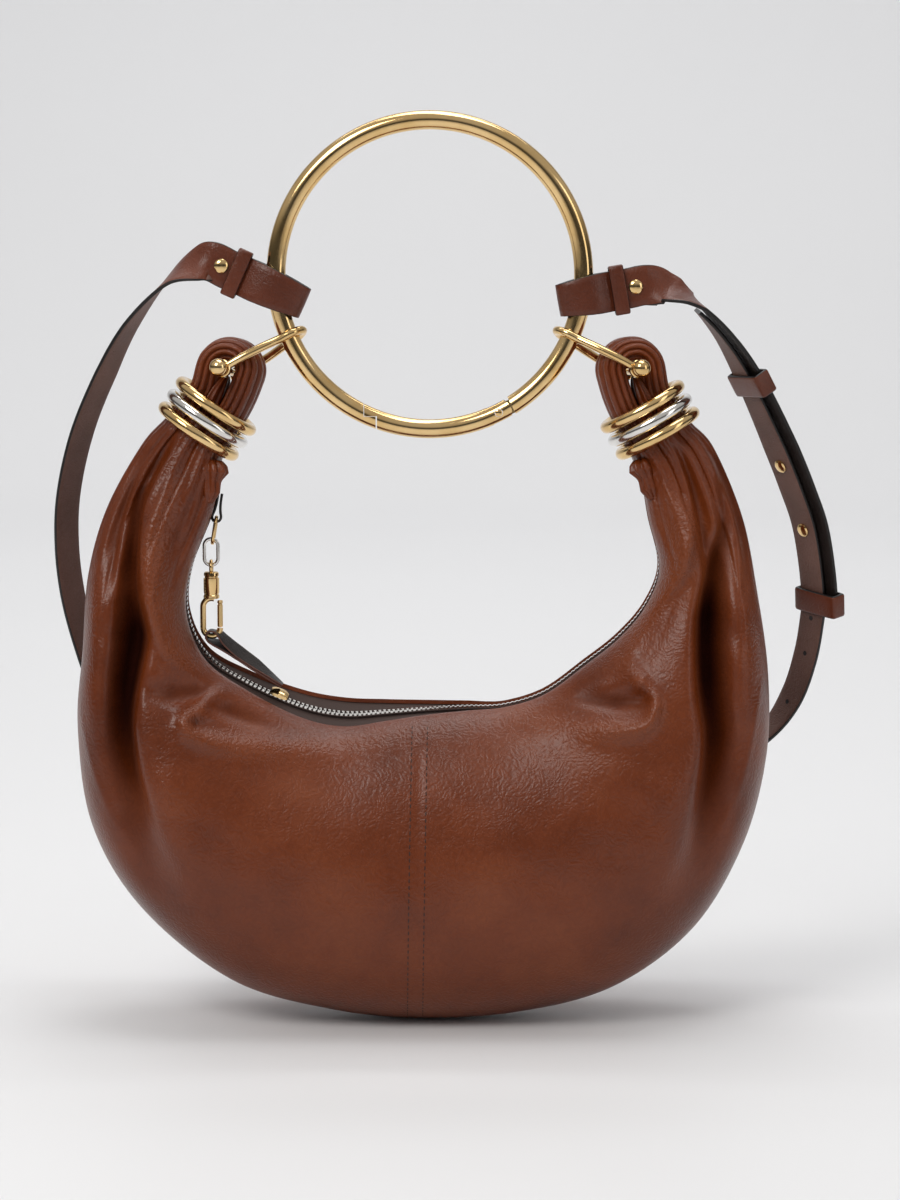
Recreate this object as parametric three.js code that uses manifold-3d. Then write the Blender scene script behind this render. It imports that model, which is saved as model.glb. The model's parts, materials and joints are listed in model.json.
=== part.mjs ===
// A small leather crescent bag that hangs from a round metal ring handle.
// Millimetres, +Z up, +X to the wearer's right of the front view, the front faces -Y.
// The origin is the top of the ring handle's inside, where a hand or a hook carries the bag.
import * as THREE from 'three';
import { mergeVertices } from 'three/addons/utils/BufferGeometryUtils.js';
import Module from 'manifold-3d';

const wasm = await Module();
wasm.setup();

// Driving sizes of the leather body
const bagWidth = 349;
const bagHeight = 315;
const bagDepth = 100;
const bagWall = 2;
const bagCentreX = -3;
const mouthGap = 23;

// Ring handle
const ringRadius = 76.2;
const ringWire = 9.5;
const ringRise = 59.5;
const ringCentreHeight = bagHeight + ringRise;
const gatePinAngle = 26.7;
const gatePinDiameter = 3.6;
const gateTongue = 3.2;
const latchReach = 33;
const latchLip = 6;

// Neck collars, shackles and the strap
const neckDiameter = 34.4;
const collarWire = 6;
const collarPitch = 7.6;
const shackleWire = 3.6;
const shacklePin = 3.6;
const shackleBall = 9;
const neckLoopDepth = 28;
const strapWidth = 16;
const tabWidth = 20;
const strapThickness = 1.8;
const keeperLength = 12;
const keeperWall = 1.6;
const studDiameter = 7;

// Chain, hook and zip
const linkWire = 1.8;
const linkLength = 15;
const linkWidth = 8.6;
const hookWire = 3;
const hookLength = 22;
const hookWidth = 11.5;
const eyeRadius = 3;
const barrelLength = 13.5;
const barrelRadius = 4;
const zipDrop = 7;
const zipTape = 1.2;
const zipTeethWidth = 5;
const pullWidth = 8;
const sliderLength = 9;
const sliderWidth = 6.4;
const sliderHeight = 2;
const pullThickness = 2.2;

// Clearances
const seatGap = 0.3;
const runGap = 0.35;

const bagHalf = bagWidth / 2;
const wireRadius = ringWire / 2;
const neckRadius = neckDiameter / 2;
const hangHeight = ringCentreHeight + ringRadius - wireRadius;

const vec = (x, y, z) => new THREE.Vector3(x, y, z);
const radians = THREE.MathUtils.degToRad;
const mix = THREE.MathUtils.lerp;
const clamp = THREE.MathUtils.clamp;

// Materials by finish
const finishes = {
  leather: { color: 0x8a4a2c, roughness: 0.48, metalness: 0 },
  leatherBack: { color: 0x5c3a32, roughness: 0.7, metalness: 0 },
  gold: { color: 0xd9b25c, roughness: 0.18, metalness: 1 },
  silver: { color: 0xd8d6d0, roughness: 0.16, metalness: 1 },
};

const model = new THREE.Group();
model.position.z = -hangHeight;

function addPart(name, geometry, finish) {
  const material = new THREE.MeshStandardMaterial(finishes[finish]);
  const mesh = new THREE.Mesh(geometry, material);
  mesh.name = name;
  model.add(mesh);
  return mesh;
}

// Signed volume of a triangle list, used to turn a solid the right way out
function signedVolume(positions, index) {
  let volume = 0;
  const corner = (k) => vec(positions[3 * k], positions[3 * k + 1], positions[3 * k + 2]);
  for (let i = 0; i < index.length; i += 3) {
    volume += corner(index[i]).dot(corner(index[i + 1]).cross(corner(index[i + 2]))) / 6;
  }
  return volume;
}

function solidFrom(points, index) {
  const positions = points.flatMap((p) => [p.x, p.y, p.z]);
  if (signedVolume(positions, index) < 0) {
    for (let i = 0; i < index.length; i += 3) {
      [index[i + 1], index[i + 2]] = [index[i + 2], index[i + 1]];
    }
  }
  const geometry = new THREE.BufferGeometry();
  geometry.setAttribute('position', new THREE.Float32BufferAttribute(positions, 3));
  geometry.setIndex(index);
  return geometry;
}

// A closed solid through equal rings of points; each end is closed by a strip across its ring
function sweepRings(rings) {
  const count = rings[0].length;
  const index = [];
  for (let i = 0; i + 1 < rings.length; i += 1) {
    for (let j = 0; j < count; j += 1) {
      const a = i * count + j;
      const b = i * count + ((j + 1) % count);
      index.push(a, b, b + count, a, b + count, a + count);
    }
  }
  const last = (rings.length - 1) * count;
  for (let j = 0; j < count / 2 - 1; j += 1) {
    const k = count - 1 - j;
    index.push(j, k, k - 1, j, k - 1, j + 1);
    index.push(last + j, last + k - 1, last + k, last + j, last + j + 1, last + k - 1);
  }
  return solidFrom(rings.flat(), index);
}

function toSolid(geometry) {
  const bare = geometry.clone();
  bare.deleteAttribute('normal');
  bare.deleteAttribute('uv');
  const merged = mergeVertices(bare, 1e-4);
  return new wasm.Manifold(new wasm.Mesh({
    numProp: 3,
    vertProperties: new Float32Array(merged.attributes.position.array),
    triVerts: new Uint32Array(merged.index.array),
  }));
}

function fromSolid(solid) {
  const mesh = solid.getMesh();
  const geometry = new THREE.BufferGeometry();
  geometry.setAttribute('position', new THREE.Float32BufferAttribute(mesh.vertProperties, 3));
  geometry.setIndex(Array.from(mesh.triVerts));
  return geometry;
}

const joined = (...shapes) => fromSolid(shapes.map(toSolid).reduce((a, b) => a.add(b)));
const cut = (shape, ...tools) => fromSolid(
  tools.map(toSolid).reduce((a, b) => a.subtract(b), toSolid(shape)));

// A round bar from one point to another
function bar(from, to, radius, sides = 12) {
  const along = to.clone().sub(from);
  const geometry = new THREE.CylinderGeometry(radius, radius, along.length(), sides);
  const turn = new THREE.Quaternion().setFromUnitVectors(vec(0, 1, 0), along.clone().normalize());
  return geometry.applyQuaternion(turn).translate(...from.clone().add(to).multiplyScalar(0.5).toArray());
}

function ball(centre, radius, sides = 8) {
  return new THREE.SphereGeometry(radius, sides, sides - 2).translate(...centre.toArray());
}

// A round wire along a smooth open path
function wireAlong(points, radius, steps, sides = 7) {
  const shape = new THREE.Shape();
  for (let i = 0; i < sides; i += 1) {
    const turn = (i / sides) * Math.PI * 2;
    const place = [radius * Math.cos(turn), radius * Math.sin(turn)];
    if (i === 0) shape.moveTo(...place);
    else shape.lineTo(...place);
  }
  const path = new THREE.CatmullRomCurve3(points, false, 'centripetal');
  return new THREE.ExtrudeGeometry(shape, { steps, bevelEnabled: false, extrudePath: path });
}

// A round ring of wire about a centre, with its axis along a direction
function wireRing(centre, axis, radius, wire, steps, sides) {
  const profile = [];
  for (let i = 0; i <= sides; i += 1) {
    const turn = (i / sides) * Math.PI * 2;
    profile.push(new THREE.Vector2(radius + wire * Math.cos(turn), wire * Math.sin(turn)));
  }
  const geometry = new THREE.LatheGeometry(profile, steps);
  const turn = new THREE.Quaternion().setFromUnitVectors(vec(0, 1, 0), axis.clone().normalize());
  return geometry.applyQuaternion(turn).translate(...centre.toArray());
}

// A prism over an outline in X and Z, from the front to the back
function prism(outline, yFront, yBack) {
  const shape = new THREE.Shape(outline.map(([x, z]) => new THREE.Vector2(x, z)));
  const geometry = new THREE.ExtrudeGeometry(shape, { depth: yBack - yFront, bevelEnabled: false });
  return geometry.rotateX(Math.PI / 2).translate(0, yBack, 0);
}

// A box about a centre, with three unit directions and three full sizes
function turnedBox(centre, axes, sizes) {
  const basis = new THREE.Matrix4().makeBasis(...axes);
  if (basis.determinant() < 0) basis.makeBasis(axes[0], axes[1], axes[2].clone().negate());
  return new THREE.BoxGeometry(...sizes).applyMatrix4(basis).translate(...centre.toArray());
}

// A closed oval of wire about a centre, lying in the plane of its long and short directions
function ovalLink(centre, longWay, shortWay, length, width, wire, steps = 12, sides = 5) {
  const normal = longWay.clone().cross(shortWay).normalize();
  const straight = (length - width) / 2;
  const bend = width / 2 - wire;
  const rings = [];
  for (let i = 0; i < steps; i += 1) {
    const turn = ((i + 0.5) / steps) * Math.PI * 2;
    const outward = longWay.clone().multiplyScalar(Math.sin(turn)).addScaledVector(shortWay, Math.cos(turn));
    const spine = centre.clone().addScaledVector(longWay, Math.sign(Math.sin(turn)) * straight);
    spine.addScaledVector(outward, bend);
    rings.push(Array.from({ length: sides }, (_, j) => {
      const lap = (j / sides) * Math.PI * 2;
      return spine.clone().addScaledVector(outward, wire * Math.cos(lap))
        .addScaledVector(normal, wire * Math.sin(lap));
    }));
  }
  const index = [];
  for (let i = 0; i < steps; i += 1) {
    for (let j = 0; j < sides; j += 1) {
      const a = i * sides + j;
      const b = i * sides + ((j + 1) % sides);
      const c = ((i + 1) % steps) * sides + j;
      const d = ((i + 1) % steps) * sides + ((j + 1) % sides);
      index.push(a, b, d, a, d, c);
    }
  }
  return solidFrom(rings.flat(), index);
}

// Ring handle: a round wire ring with a spring gate at the bottom
const ringCentre = vec(0, 0, ringCentreHeight);

function ringPoint(degrees, radius = ringRadius) {
  const turn = radians(degrees);
  return vec(radius * Math.sin(turn), 0, ringCentreHeight - radius * Math.cos(turn));
}

function ringHandle() {
  const full = wireRing(ringCentre, vec(0, 1, 0), ringRadius, wireRadius, 58, 8);
  const pin = ringPoint(gatePinAngle);
  const along = vec(Math.cos(radians(gatePinAngle)), 0, Math.sin(radians(gatePinAngle)));
  const outward = pin.clone().sub(ringCentre).normalize();
  const place = (a, r) => pin.clone().addScaledVector(along, a).addScaledVector(outward, r);
  const flat = (p) => [p.x, p.z];
  const knuckle = wireRadius * 1.4;
  const seam = knuckle + 2 * runGap;
  const inside = ringRadius / 2;
  const outside = ringRadius / 3;
  const lipMiddle = latchReach - latchLip / 2;
  const step = ringCentreHeight - Math.sqrt(ringRadius ** 2 - lipMiddle ** 2);
  const high = ringCentreHeight - inside;
  const low = ringCentreHeight - ringRadius - outside;

  const outline = (gap, endPlane) => [
    [-latchReach + gap, high], [-latchReach + gap, step + gap],
    [-latchReach + latchLip + 2 * gap, step + gap], [-latchReach + latchLip + 2 * gap, low],
    flat(place(endPlane, outside)), flat(place(endPlane, -inside)),
  ];
  const across = (shape) => prism(shape, -ringWire, ringWire);
  const round = (radius, half) => bar(
    pin.clone().add(vec(0, -half, 0)), pin.clone().add(vec(0, half, 0)), radius, 14);
  const strip = (from, to, halfHeight, half) => prism([
    flat(place(from, -halfHeight)), flat(place(from, halfHeight)),
    flat(place(to, halfHeight)), flat(place(to, -halfHeight)),
  ], -half, half);

  const tongueTip = wireRadius * 0.76;
  const pinHole = round(gatePinDiameter / 2 + seatGap, ringWire);
  const tongue = joined(
    strip(0, seam + 2, tongueTip, gateTongue / 2),
    round(tongueTip, gateTongue / 2),
  );
  const body = toSolid(full).subtract(toSolid(across(outline(0, seam)))).add(toSolid(tongue))
    .subtract(toSolid(pinHole));
  const slot = strip(-tongueTip - 3 * runGap, seam + ringWire, ringWire, gateTongue / 2 + runGap);
  const gateSpace = toSolid(across(outline(runGap, 0))).add(toSolid(round(knuckle, ringWire)));
  const gate = toSolid(full).intersect(gateSpace).subtract(toSolid(slot)).subtract(toSolid(pinHole));

  addPart('ring_handle', fromSolid(body), 'gold');
  addPart('ring_gate', fromSolid(gate), 'gold');
  addPart('ring_gate_pin', round(gatePinDiameter / 2, wireRadius * 0.9), 'gold');
}

// The two necks, left and right; reach and height are shares of the bag's half width and height
const necks = [
  { name: 'left', side: -1, reach: 0.618, height: 0.963, lean: 35, turn: 14 },
  { name: 'right', side: 1, reach: 0.645, height: 0.961, lean: 30, turn: 12 },
].map((neck) => {
  const lean = radians(neck.lean);
  const turn = radians(neck.turn);
  const centre = vec(bagCentreX + neck.side * neck.reach * bagHalf, 0, neck.height * bagHeight);
  const up = vec(-neck.side * Math.sin(lean), 0, Math.cos(lean));
  const inward = vec(-neck.side * Math.cos(lean), 0, -Math.sin(lean));
  const across = inward.clone().multiplyScalar(Math.cos(turn)).add(vec(0, -Math.sin(turn), 0));
  const pinWay = inward.clone().multiplyScalar(Math.sin(turn)).add(vec(0, Math.cos(turn), 0));
  return { ...neck, centre, up, inward, across, pinWay };
});

const bundleWidth = 14.8;
const loopBend = bundleWidth / 2 + shacklePin / 2 + 3 * seatGap + 0.2;
const loopShift = -0.22 * neckRadius;
const loopRise = 1.5 * neckRadius;
const pinPlace = (neck) => neck.centre.clone().addScaledVector(neck.across, loopShift)
  .addScaledVector(neck.up, loopRise);

function collars(neck) {
  const radius = neckRadius + 1.5 * seatGap + collarWire / 2;
  const rows = [
    { name: 'upper', place: 1, finish: 'gold' },
    { name: 'middle', place: 0, finish: 'silver' },
    { name: 'lower', place: -1, finish: 'gold' },
  ];
  rows.forEach((row) => {
    const centre = neck.centre.clone().addScaledVector(neck.up, row.place * collarPitch);
    const ring = wireRing(centre, neck.up, radius, collarWire / 2, 18, 6);
    addPart(`collar_${neck.name}_${row.name}`, ring, row.finish);
  });
}

// The gathered leather loop: two legs out of the collars and a bend over the shackle's pin
function neckLoop(neck) {
  const legs = neckRadius / 2 + 0.2;
  const path = [
    [legs, seatGap / 2, 0.88], [legs + 0.4, 0.45 * loopRise, 0.96],
    [loopShift + loopBend, loopRise, 1], [loopShift + 0.71 * loopBend, loopRise + 0.71 * loopBend, 1],
    [loopShift, loopRise + loopBend, 1],
    [loopShift - 0.71 * loopBend, loopRise + 0.71 * loopBend, 1], [loopShift - loopBend, loopRise, 1],
    [-legs - 0.9, 0.45 * loopRise, 0.96], [-legs, seatGap / 2, 0.88],
  ];
  const spine = new THREE.CatmullRomCurve3(path.map(([a, b]) => vec(a, b, 0)), false, 'centripetal');
  const steps = 14;
  const sides = 12;
  const rings = [];
  for (let i = 0; i <= steps; i += 1) {
    const share = i / steps;
    const place = spine.getPoint(share);
    const atEnd = i === 0 || i === steps;
    const along = atEnd ? vec(0, i === 0 ? 1 : -1, 0) : spine.getTangent(share);
    const normal = vec(-along.y, along.x, 0);
    const row = share * (path.length - 1);
    const k = Math.min(Math.floor(row), path.length - 2);
    const depth = (mix(path[k][2], path[k + 1][2], row - k) * neckLoopDepth) / 2;
    rings.push(Array.from({ length: sides }, (_, j) => {
      const turn = (j / sides) * Math.PI * 2;
      const pleat = 1 - 0.07 * (1 - Math.cos(6 * turn));
      const width = (bundleWidth / 2) * pleat * Math.cos(turn);
      const a = place.x + normal.x * width;
      const b = place.y + normal.y * width;
      return neck.centre.clone().addScaledVector(neck.across, a).addScaledVector(neck.up, b)
        .addScaledVector(neck.pinWay, depth * pleat * Math.sin(turn));
    }));
  }
  addPart(`neck_loop_${neck.name}`, sweepRings(rings), 'leather');
}

// The shackle hangs the neck loop on the ring handle: a bow of wire with two drilled lugs, and its pin
const shackleRingAngle = 66;

function shackle(neck) {
  const pin = pinPlace(neck);
  const ring = ringPoint(neck.side * shackleRingAngle);
  const along = ring.clone().sub(pin).normalize();
  const plane = along.clone().cross(neck.pinWay).normalize();
  const sideWay = plane.clone().cross(along).normalize();
  const reach = ring.distanceTo(pin);
  const wire = shackleWire / 2;
  const half = neckLoopDepth / 2 + 2 * seatGap + wire;
  const bowSide = wireRadius + wire + 2 * runGap + 1;
  const bowEnd = wireRadius * 1.06 + wire + 2 * seatGap;
  const place = (origin, a, s) => origin.clone().addScaledVector(along, a).addScaledVector(sideWay, s);
  const arm = (s) => [
    pin.clone().addScaledVector(neck.pinWay, s * half),
    place(pin, 0.3 * reach, s * half * 0.99),
    place(pin, 0.62 * reach, s * mix(bowSide, half, 0.62)),
    place(ring, -0.1 * reach, s * bowSide * 1.08),
    place(ring, bowEnd * 0.55, s * bowSide * 0.82),
  ];
  const bow = wireAlong([...arm(-1), place(ring, bowEnd, 0), ...arm(1).reverse()], wire, 20, 6);
  const pinSpot = (s) => pin.clone().addScaledVector(neck.pinWay, s);
  const lugRadius = shacklePin / 2 + seatGap + 2.4;
  const lug = (s) => bar(pinSpot(s * (half - wire)), pinSpot(s * (half + wire)), lugRadius, 8);
  const hole = bar(pinSpot(-half - ringWire), pinSpot(half + ringWire), shacklePin / 2 + seatGap, 8);
  addPart(`shackle_${neck.name}`, cut(joined(bow, lug(-1), lug(1)), hole), 'gold');

  const ballPlace = half + wire + seatGap + shackleBall / 2;
  const stem = bar(pinSpot(-ballPlace), pinSpot(ballPlace), shacklePin / 2, 8);
  const ends = [-ballPlace, ballPlace].map((s) => ball(pinSpot(s), shackleBall / 2));
  addPart(`shackle_pin_${neck.name}`, joined(stem, ...ends), 'gold');
}

// Sections of the leather body from the left neck to the right one.
// edgeX, edgeZ: front mouth edge; baseX, baseZ: outer outline; as shares of half width and of height.
// depth is a share of the bag's depth, gap of the mouth gap, rise of the height (the back edge's lift),
// and pleat says how much of the neck's gathers a section keeps.
const sections = [
  { edgeX: -0.583, edgeZ: 0.868, baseX: -0.806, baseZ: 0.922, depth: 0.37, gap: 0.2, rise: 0, pleat: 1 },
  { edgeX: -0.605, edgeZ: 0.813, baseX: -0.908, baseZ: 0.821, depth: 0.44, gap: 0.45, rise: 0, pleat: 0.8 },
  { edgeX: -0.668, edgeZ: 0.722, baseX: -0.963, baseZ: 0.714, depth: 0.55, gap: 0.7, rise: 0.002,
    pleat: 0.5 },
  { edgeX: -0.676, edgeZ: 0.65, baseX: -0.98, baseZ: 0.598, depth: 0.69, gap: 0.85, rise: 0.006, pleat: 0.3 },
  { edgeX: -0.622, edgeZ: 0.582, baseX: -0.997, baseZ: 0.471, depth: 0.82, gap: 0.95, rise: 0.012,
    pleat: 0.15 },
  { edgeX: -0.507, edgeZ: 0.535, baseX: -0.957, baseZ: 0.313, depth: 0.92, gap: 1, rise: 0.022, pleat: 0.05 },
  { edgeX: -0.355, edgeZ: 0.492, baseX: -0.814, baseZ: 0.178, depth: 0.98, gap: 1, rise: 0.034, pleat: 0 },
  { edgeX: -0.232, edgeZ: 0.477, baseX: -0.556, baseZ: 0.062, depth: 1, gap: 1, rise: 0.036, pleat: 0 },
  { edgeX: -0.106, edgeZ: 0.486, baseX: -0.269, baseZ: 0.014, depth: 1, gap: 1, rise: 0.024, pleat: 0 },
  { edgeX: 0, edgeZ: 0.495, baseX: -0.01, baseZ: 0, depth: 1, gap: 1, rise: 0.014, pleat: 0 },
  { edgeX: 0.117, edgeZ: 0.502, baseX: 0.275, baseZ: 0.01, depth: 1, gap: 1, rise: 0.006, pleat: 0 },
  { edgeX: 0.232, edgeZ: 0.508, baseX: 0.547, baseZ: 0.051, depth: 1, gap: 1, rise: 0, pleat: 0 },
  { edgeX: 0.347, edgeZ: 0.529, baseX: 0.777, baseZ: 0.146, depth: 0.98, gap: 1, rise: 0, pleat: 0 },
  { edgeX: 0.461, edgeZ: 0.575, baseX: 0.92, baseZ: 0.281, depth: 0.92, gap: 1, rise: 0, pleat: 0.05 },
  { edgeX: 0.556, edgeZ: 0.617, baseX: 0.986, baseZ: 0.424, depth: 0.82, gap: 0.95, rise: 0, pleat: 0.15 },
  { edgeX: 0.633, edgeZ: 0.668, baseX: 0.989, baseZ: 0.559, depth: 0.69, gap: 0.85, rise: 0, pleat: 0.3 },
  { edgeX: 0.672, edgeZ: 0.729, baseX: 0.954, baseZ: 0.694, depth: 0.55, gap: 0.7, rise: 0, pleat: 0.5 },
  { edgeX: 0.642, edgeZ: 0.805, baseX: 0.911, baseZ: 0.808, depth: 0.44, gap: 0.45, rise: 0, pleat: 0.8 },
  { edgeX: 0.622, edgeZ: 0.862, baseX: 0.828, baseZ: 0.917, depth: 0.37, gap: 0.2, rise: 0, pleat: 1 },
];

// Folds as three points each, in shares of half width and of height.
// width is a share of the half width and push of the depth; a negative push is a hollow.
const folds = [
  { x1: -0.705, z1: 0.856, x2: -0.785, z2: 0.630, x3: -0.848, z3: 0.519, width: 0.040, push: -0.070 },
  { x1: -0.785, z1: 0.662, x2: -0.819, z2: 0.519, x3: -0.779, z3: 0.249, width: 0.060, push: -0.090 },
  { x1: -0.722, z1: 0.829, x2: -0.757, z2: 0.749, x3: -0.665, z3: 0.590, width: 0.045, push: 0.060 },
  { x1: -0.742, z1: 0.541, x2: -0.670, z2: 0.529, x3: -0.599, z3: 0.529, width: 0.050, push: -0.060 },
  { x1: -0.628, z1: 0.506, x2: -0.550, z2: 0.498, x3: -0.458, z3: 0.484, width: 0.045, push: -0.050 },
  { x1: -0.579, z1: 0.460, x2: -0.155, z2: 0.440, x3: 0.390, z3: 0.470, width: 0.060, push: 0.040 },
  { x1: -0.785, z1: 0.892, x2: -0.874, z2: 0.773, x3: -0.894, z3: 0.678, width: 0.035, push: -0.040 },
  { x1: -0.960, z1: 0.598, x2: -0.930, z2: 0.471, x3: -0.885, z3: 0.344, width: 0.040, push: -0.035 },
  { x1: 0.699, z1: 0.852, x2: 0.791, z2: 0.662, x3: 0.791, z3: 0.535, width: 0.040, push: -0.070 },
  { x1: 0.791, z1: 0.662, x2: 0.797, z2: 0.471, x3: 0.711, z3: 0.249, width: 0.060, push: -0.090 },
  { x1: 0.688, z1: 0.844, x2: 0.745, z2: 0.765, x3: 0.633, z3: 0.654, width: 0.045, push: 0.060 },
  { x1: 0.433, z1: 0.519, x2: 0.533, z2: 0.525, x3: 0.619, z3: 0.522, width: 0.050, push: -0.060 },
  { x1: 0.596, z1: 0.598, x2: 0.662, z2: 0.519, x3: 0.504, z3: 0.498, width: 0.040, push: 0.045 },
  { x1: 0.885, z1: 0.837, x2: 0.905, z2: 0.741, x3: 0.871, z3: 0.630, width: 0.035, push: -0.040 },
  { x1: 0.950, z1: 0.630, x2: 0.925, z2: 0.503, x3: 0.862, z3: 0.344, width: 0.040, push: -0.035 },
].map((fold) => ({
  ...fold,
  points: [[fold.x1, fold.z1], [fold.x2, fold.z2], [fold.x3, fold.z3]]
    .map(([x, z]) => new THREE.Vector2(bagCentreX + x * bagHalf, z * bagHeight)),
}));

function distanceToFold(place, points) {
  let nearest = Infinity;
  for (let i = 0; i + 1 < points.length; i += 1) {
    const way = points[i + 1].clone().sub(points[i]);
    const share = clamp(place.clone().sub(points[i]).dot(way) / way.lengthSq(), 0, 1);
    nearest = Math.min(nearest, place.distanceTo(points[i].clone().addScaledVector(way, share)));
  }
  return nearest;
}

// How far the folds push the leather outwards at a place of the front view
function foldPush(x, z) {
  const place = new THREE.Vector2(x, z);
  return folds.reduce((sum, fold) => {
    const away = distanceToFold(place, fold.points) / (fold.width * bagHalf);
    return sum + fold.push * bagDepth * Math.exp(-away * away);
  }, 0);
}

// All sections in millimetres, with the round neck tube at both ends
const tubeRows = (neck) => [-seatGap / 2, -1.45 * collarPitch].map((place) => {
  const centre = neck.centre.clone().addScaledVector(neck.up, place);
  return {
    edge: centre.clone().addScaledVector(neck.inward, neckRadius),
    base: centre.clone().addScaledVector(neck.inward, -neckRadius),
    depth: neckDiameter,
    gap: 0.6,
    rise: 0,
    pleat: 1,
  };
});
const bodyRows = [
  ...tubeRows(necks[0]),
  ...sections.map((row) => ({
    edge: vec(bagCentreX + row.edgeX * bagHalf, 0, row.edgeZ * bagHeight),
    base: vec(bagCentreX + row.baseX * bagHalf, 0, row.baseZ * bagHeight),
    depth: row.depth * bagDepth,
    gap: row.gap * mouthGap,
    rise: row.rise * bagHeight,
    pleat: row.pleat,
  })),
  ...tubeRows(necks[1]).reverse(),
];

function smoothRow(share) {
  const row = share * (bodyRows.length - 1);
  const k = Math.min(Math.floor(row), bodyRows.length - 2);
  const t = row - k;
  const pick = (i) => bodyRows[clamp(i, 0, bodyRows.length - 1)];
  const blend = (read) => {
    const [a, b, c, d] = [pick(k - 1), pick(k), pick(k + 1), pick(k + 2)].map(read);
    return b + 0.5 * t * (c - a + t * (2 * a - 5 * b + 4 * c - d + t * (3 * (b - c) + d - a)));
  };
  return {
    edge: vec(blend((r) => r.edge.x), 0, blend((r) => r.edge.z)),
    base: vec(blend((r) => r.base.x), 0, blend((r) => r.base.z)),
    depth: blend((r) => r.depth),
    gap: Math.max(blend((r) => r.gap), 0.6),
    rise: Math.max(blend((r) => r.rise), 0),
    pleat: clamp(blend((r) => r.pleat), 0, 1),
  };
}

const pleatCount = 9;
const pleatDepth = 1.8;

// A place on the outer leather: share runs from neck to neck, lap from the front edge (0),
// round the base (1), to the back edge (2)
function leatherPlace(share, lap) {
  const row = smoothRow(share);
  const front = lap <= 1;
  const turn = Math.PI * (front ? lap : 2 - lap);
  const fullness = clamp((row.depth / bagDepth - 0.38) / 0.6, 0, 1);
  const down = ((1 - Math.cos(turn)) / 2) ** mix(1, 0.78, fullness);
  const edge = row.edge.clone();
  if (!front) edge.z += row.rise;
  const place = edge.lerp(row.base, down);
  const gather = row.pleat * pleatDepth * 0.5 * (1 - Math.cos(pleatCount * turn));
  const swell = (row.depth / 2 - gather) * Math.sin(turn);
  const fold = foldPush(place.x, place.z) * Math.sin(turn) * (front ? 1 : 0.7);
  const half = (row.gap / 2) * (1 - down) ** 1.5 + swell + fold;
  place.y = front ? -half : half;
  return place;
}

const bodyStations = 36;
const bodyLaps = 20;

function leatherBody() {
  const stations = bodyStations;
  const laps = bodyLaps;
  const grid = [];
  for (let i = 0; i <= stations; i += 1) {
    grid.push(Array.from({ length: laps + 1 }, (_, j) => leatherPlace(i / stations, (2 * j) / laps)));
  }
  const inner = grid.map((line, i) => line.map((place, j) => {
    const before = grid[Math.max(i - 1, 0)][j];
    const after = grid[Math.min(i + 1, stations)][j];
    const along = after.clone().sub(before);
    const round = line[Math.min(j + 1, laps)].clone().sub(line[Math.max(j - 1, 0)]);
    return place.clone().addScaledVector(along.cross(round).normalize(), -bagWall);
  }));
  const middle = Math.round(stations / 2);
  const test = grid[middle][Math.round(laps / 4)];
  if (inner[middle][Math.round(laps / 4)].y < test.y) {
    inner.forEach((line, i) => line.forEach((place, j) => {
      place.multiplyScalar(-1).addScaledVector(grid[i][j], 2);
    }));
  }
  const rings = grid.map((line, i) => [...line, ...inner[i].slice().reverse()]);
  addPart('bag_body', sweepRings(rings), 'leather');
}

// The zip closes the mouth: a woven band between the two edges, its teeth, and a slider
const mouthPlace = (share) => {
  const row = smoothRow(share);
  return vec(row.edge.x, 0, row.edge.z + row.rise / 2);
};

const zipInset = 5;
const sliderShare = 0.345;
const teethRise = zipTape + 3 * seatGap;
const sliderRise = teethRise + zipTape + seatGap;

// A place on the zip's cross-section: y across the mouth, rise above the tape's underside
function zipPlace(share, y, rise) {
  const row = smoothRow(share);
  const along = mouthPlace(share + 0.01).sub(mouthPlace(share - 0.01)).normalize();
  const up = vec(-along.z, 0, along.x);
  const slope = row.rise / row.gap;
  return mouthPlace(share).addScaledVector(up, rise + y * slope - zipDrop / 2).add(vec(0, y, 0));
}

// A flat bar along the zip between two shares, from one rise to another
function zipBar(from, to, stations, halfAt, low, high) {
  const rings = [];
  for (let i = 0; i <= stations; i += 1) {
    const share = mix(from, to, i / stations);
    const half = halfAt(share);
    rings.push([zipPlace(share, -half, low), zipPlace(share, half, low), zipPlace(share, half, high),
      zipPlace(share, -half, high)]);
  }
  return sweepRings(rings);
}

// The tape's half width: it reaches the inner faces of the leather, which flare out below the mouth
function tapeHalf(share) {
  const lap = 2 / bodyLaps;
  const halfAt = (l) => Math.min(Math.abs(leatherPlace(share, l).y), Math.abs(leatherPlace(share, 2 - l).y));
  const top = leatherPlace(share, 0);
  const next = leatherPlace(share, lap);
  const flare = (halfAt(lap) - halfAt(0)) / Math.hypot(next.x - top.x, next.z - top.z);
  return halfAt(0) + flare * (zipDrop / 2 - zipTape) - (bagWall + 2 * seatGap) * Math.hypot(1, flare);
}

function zip() {
  const stations = bodyStations - 2 * zipInset;
  const from = zipInset / bodyStations;
  const to = 1 - from;
  addPart('zip_tape', zipBar(from, to, stations, tapeHalf, 0, zipTape), 'leatherBack');
  const inset = 1 / bodyStations;
  const teeth = zipBar(from + inset, to - inset, stations - 2, () => zipTeethWidth / 2,
    teethRise, teethRise + zipTape);
  addPart('zip_teeth', teeth, 'silver');

  const perShare = mouthPlace(sliderShare - 0.01).distanceTo(mouthPlace(sliderShare + 0.01)) / 0.02;
  const reach = sliderLength / 2 / perShare;
  const slider = zipBar(sliderShare - reach, sliderShare + reach, 2, () => sliderWidth / 2,
    sliderRise, sliderRise + sliderHeight);
  addPart('zip_slider', slider, 'gold');
}

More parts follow.
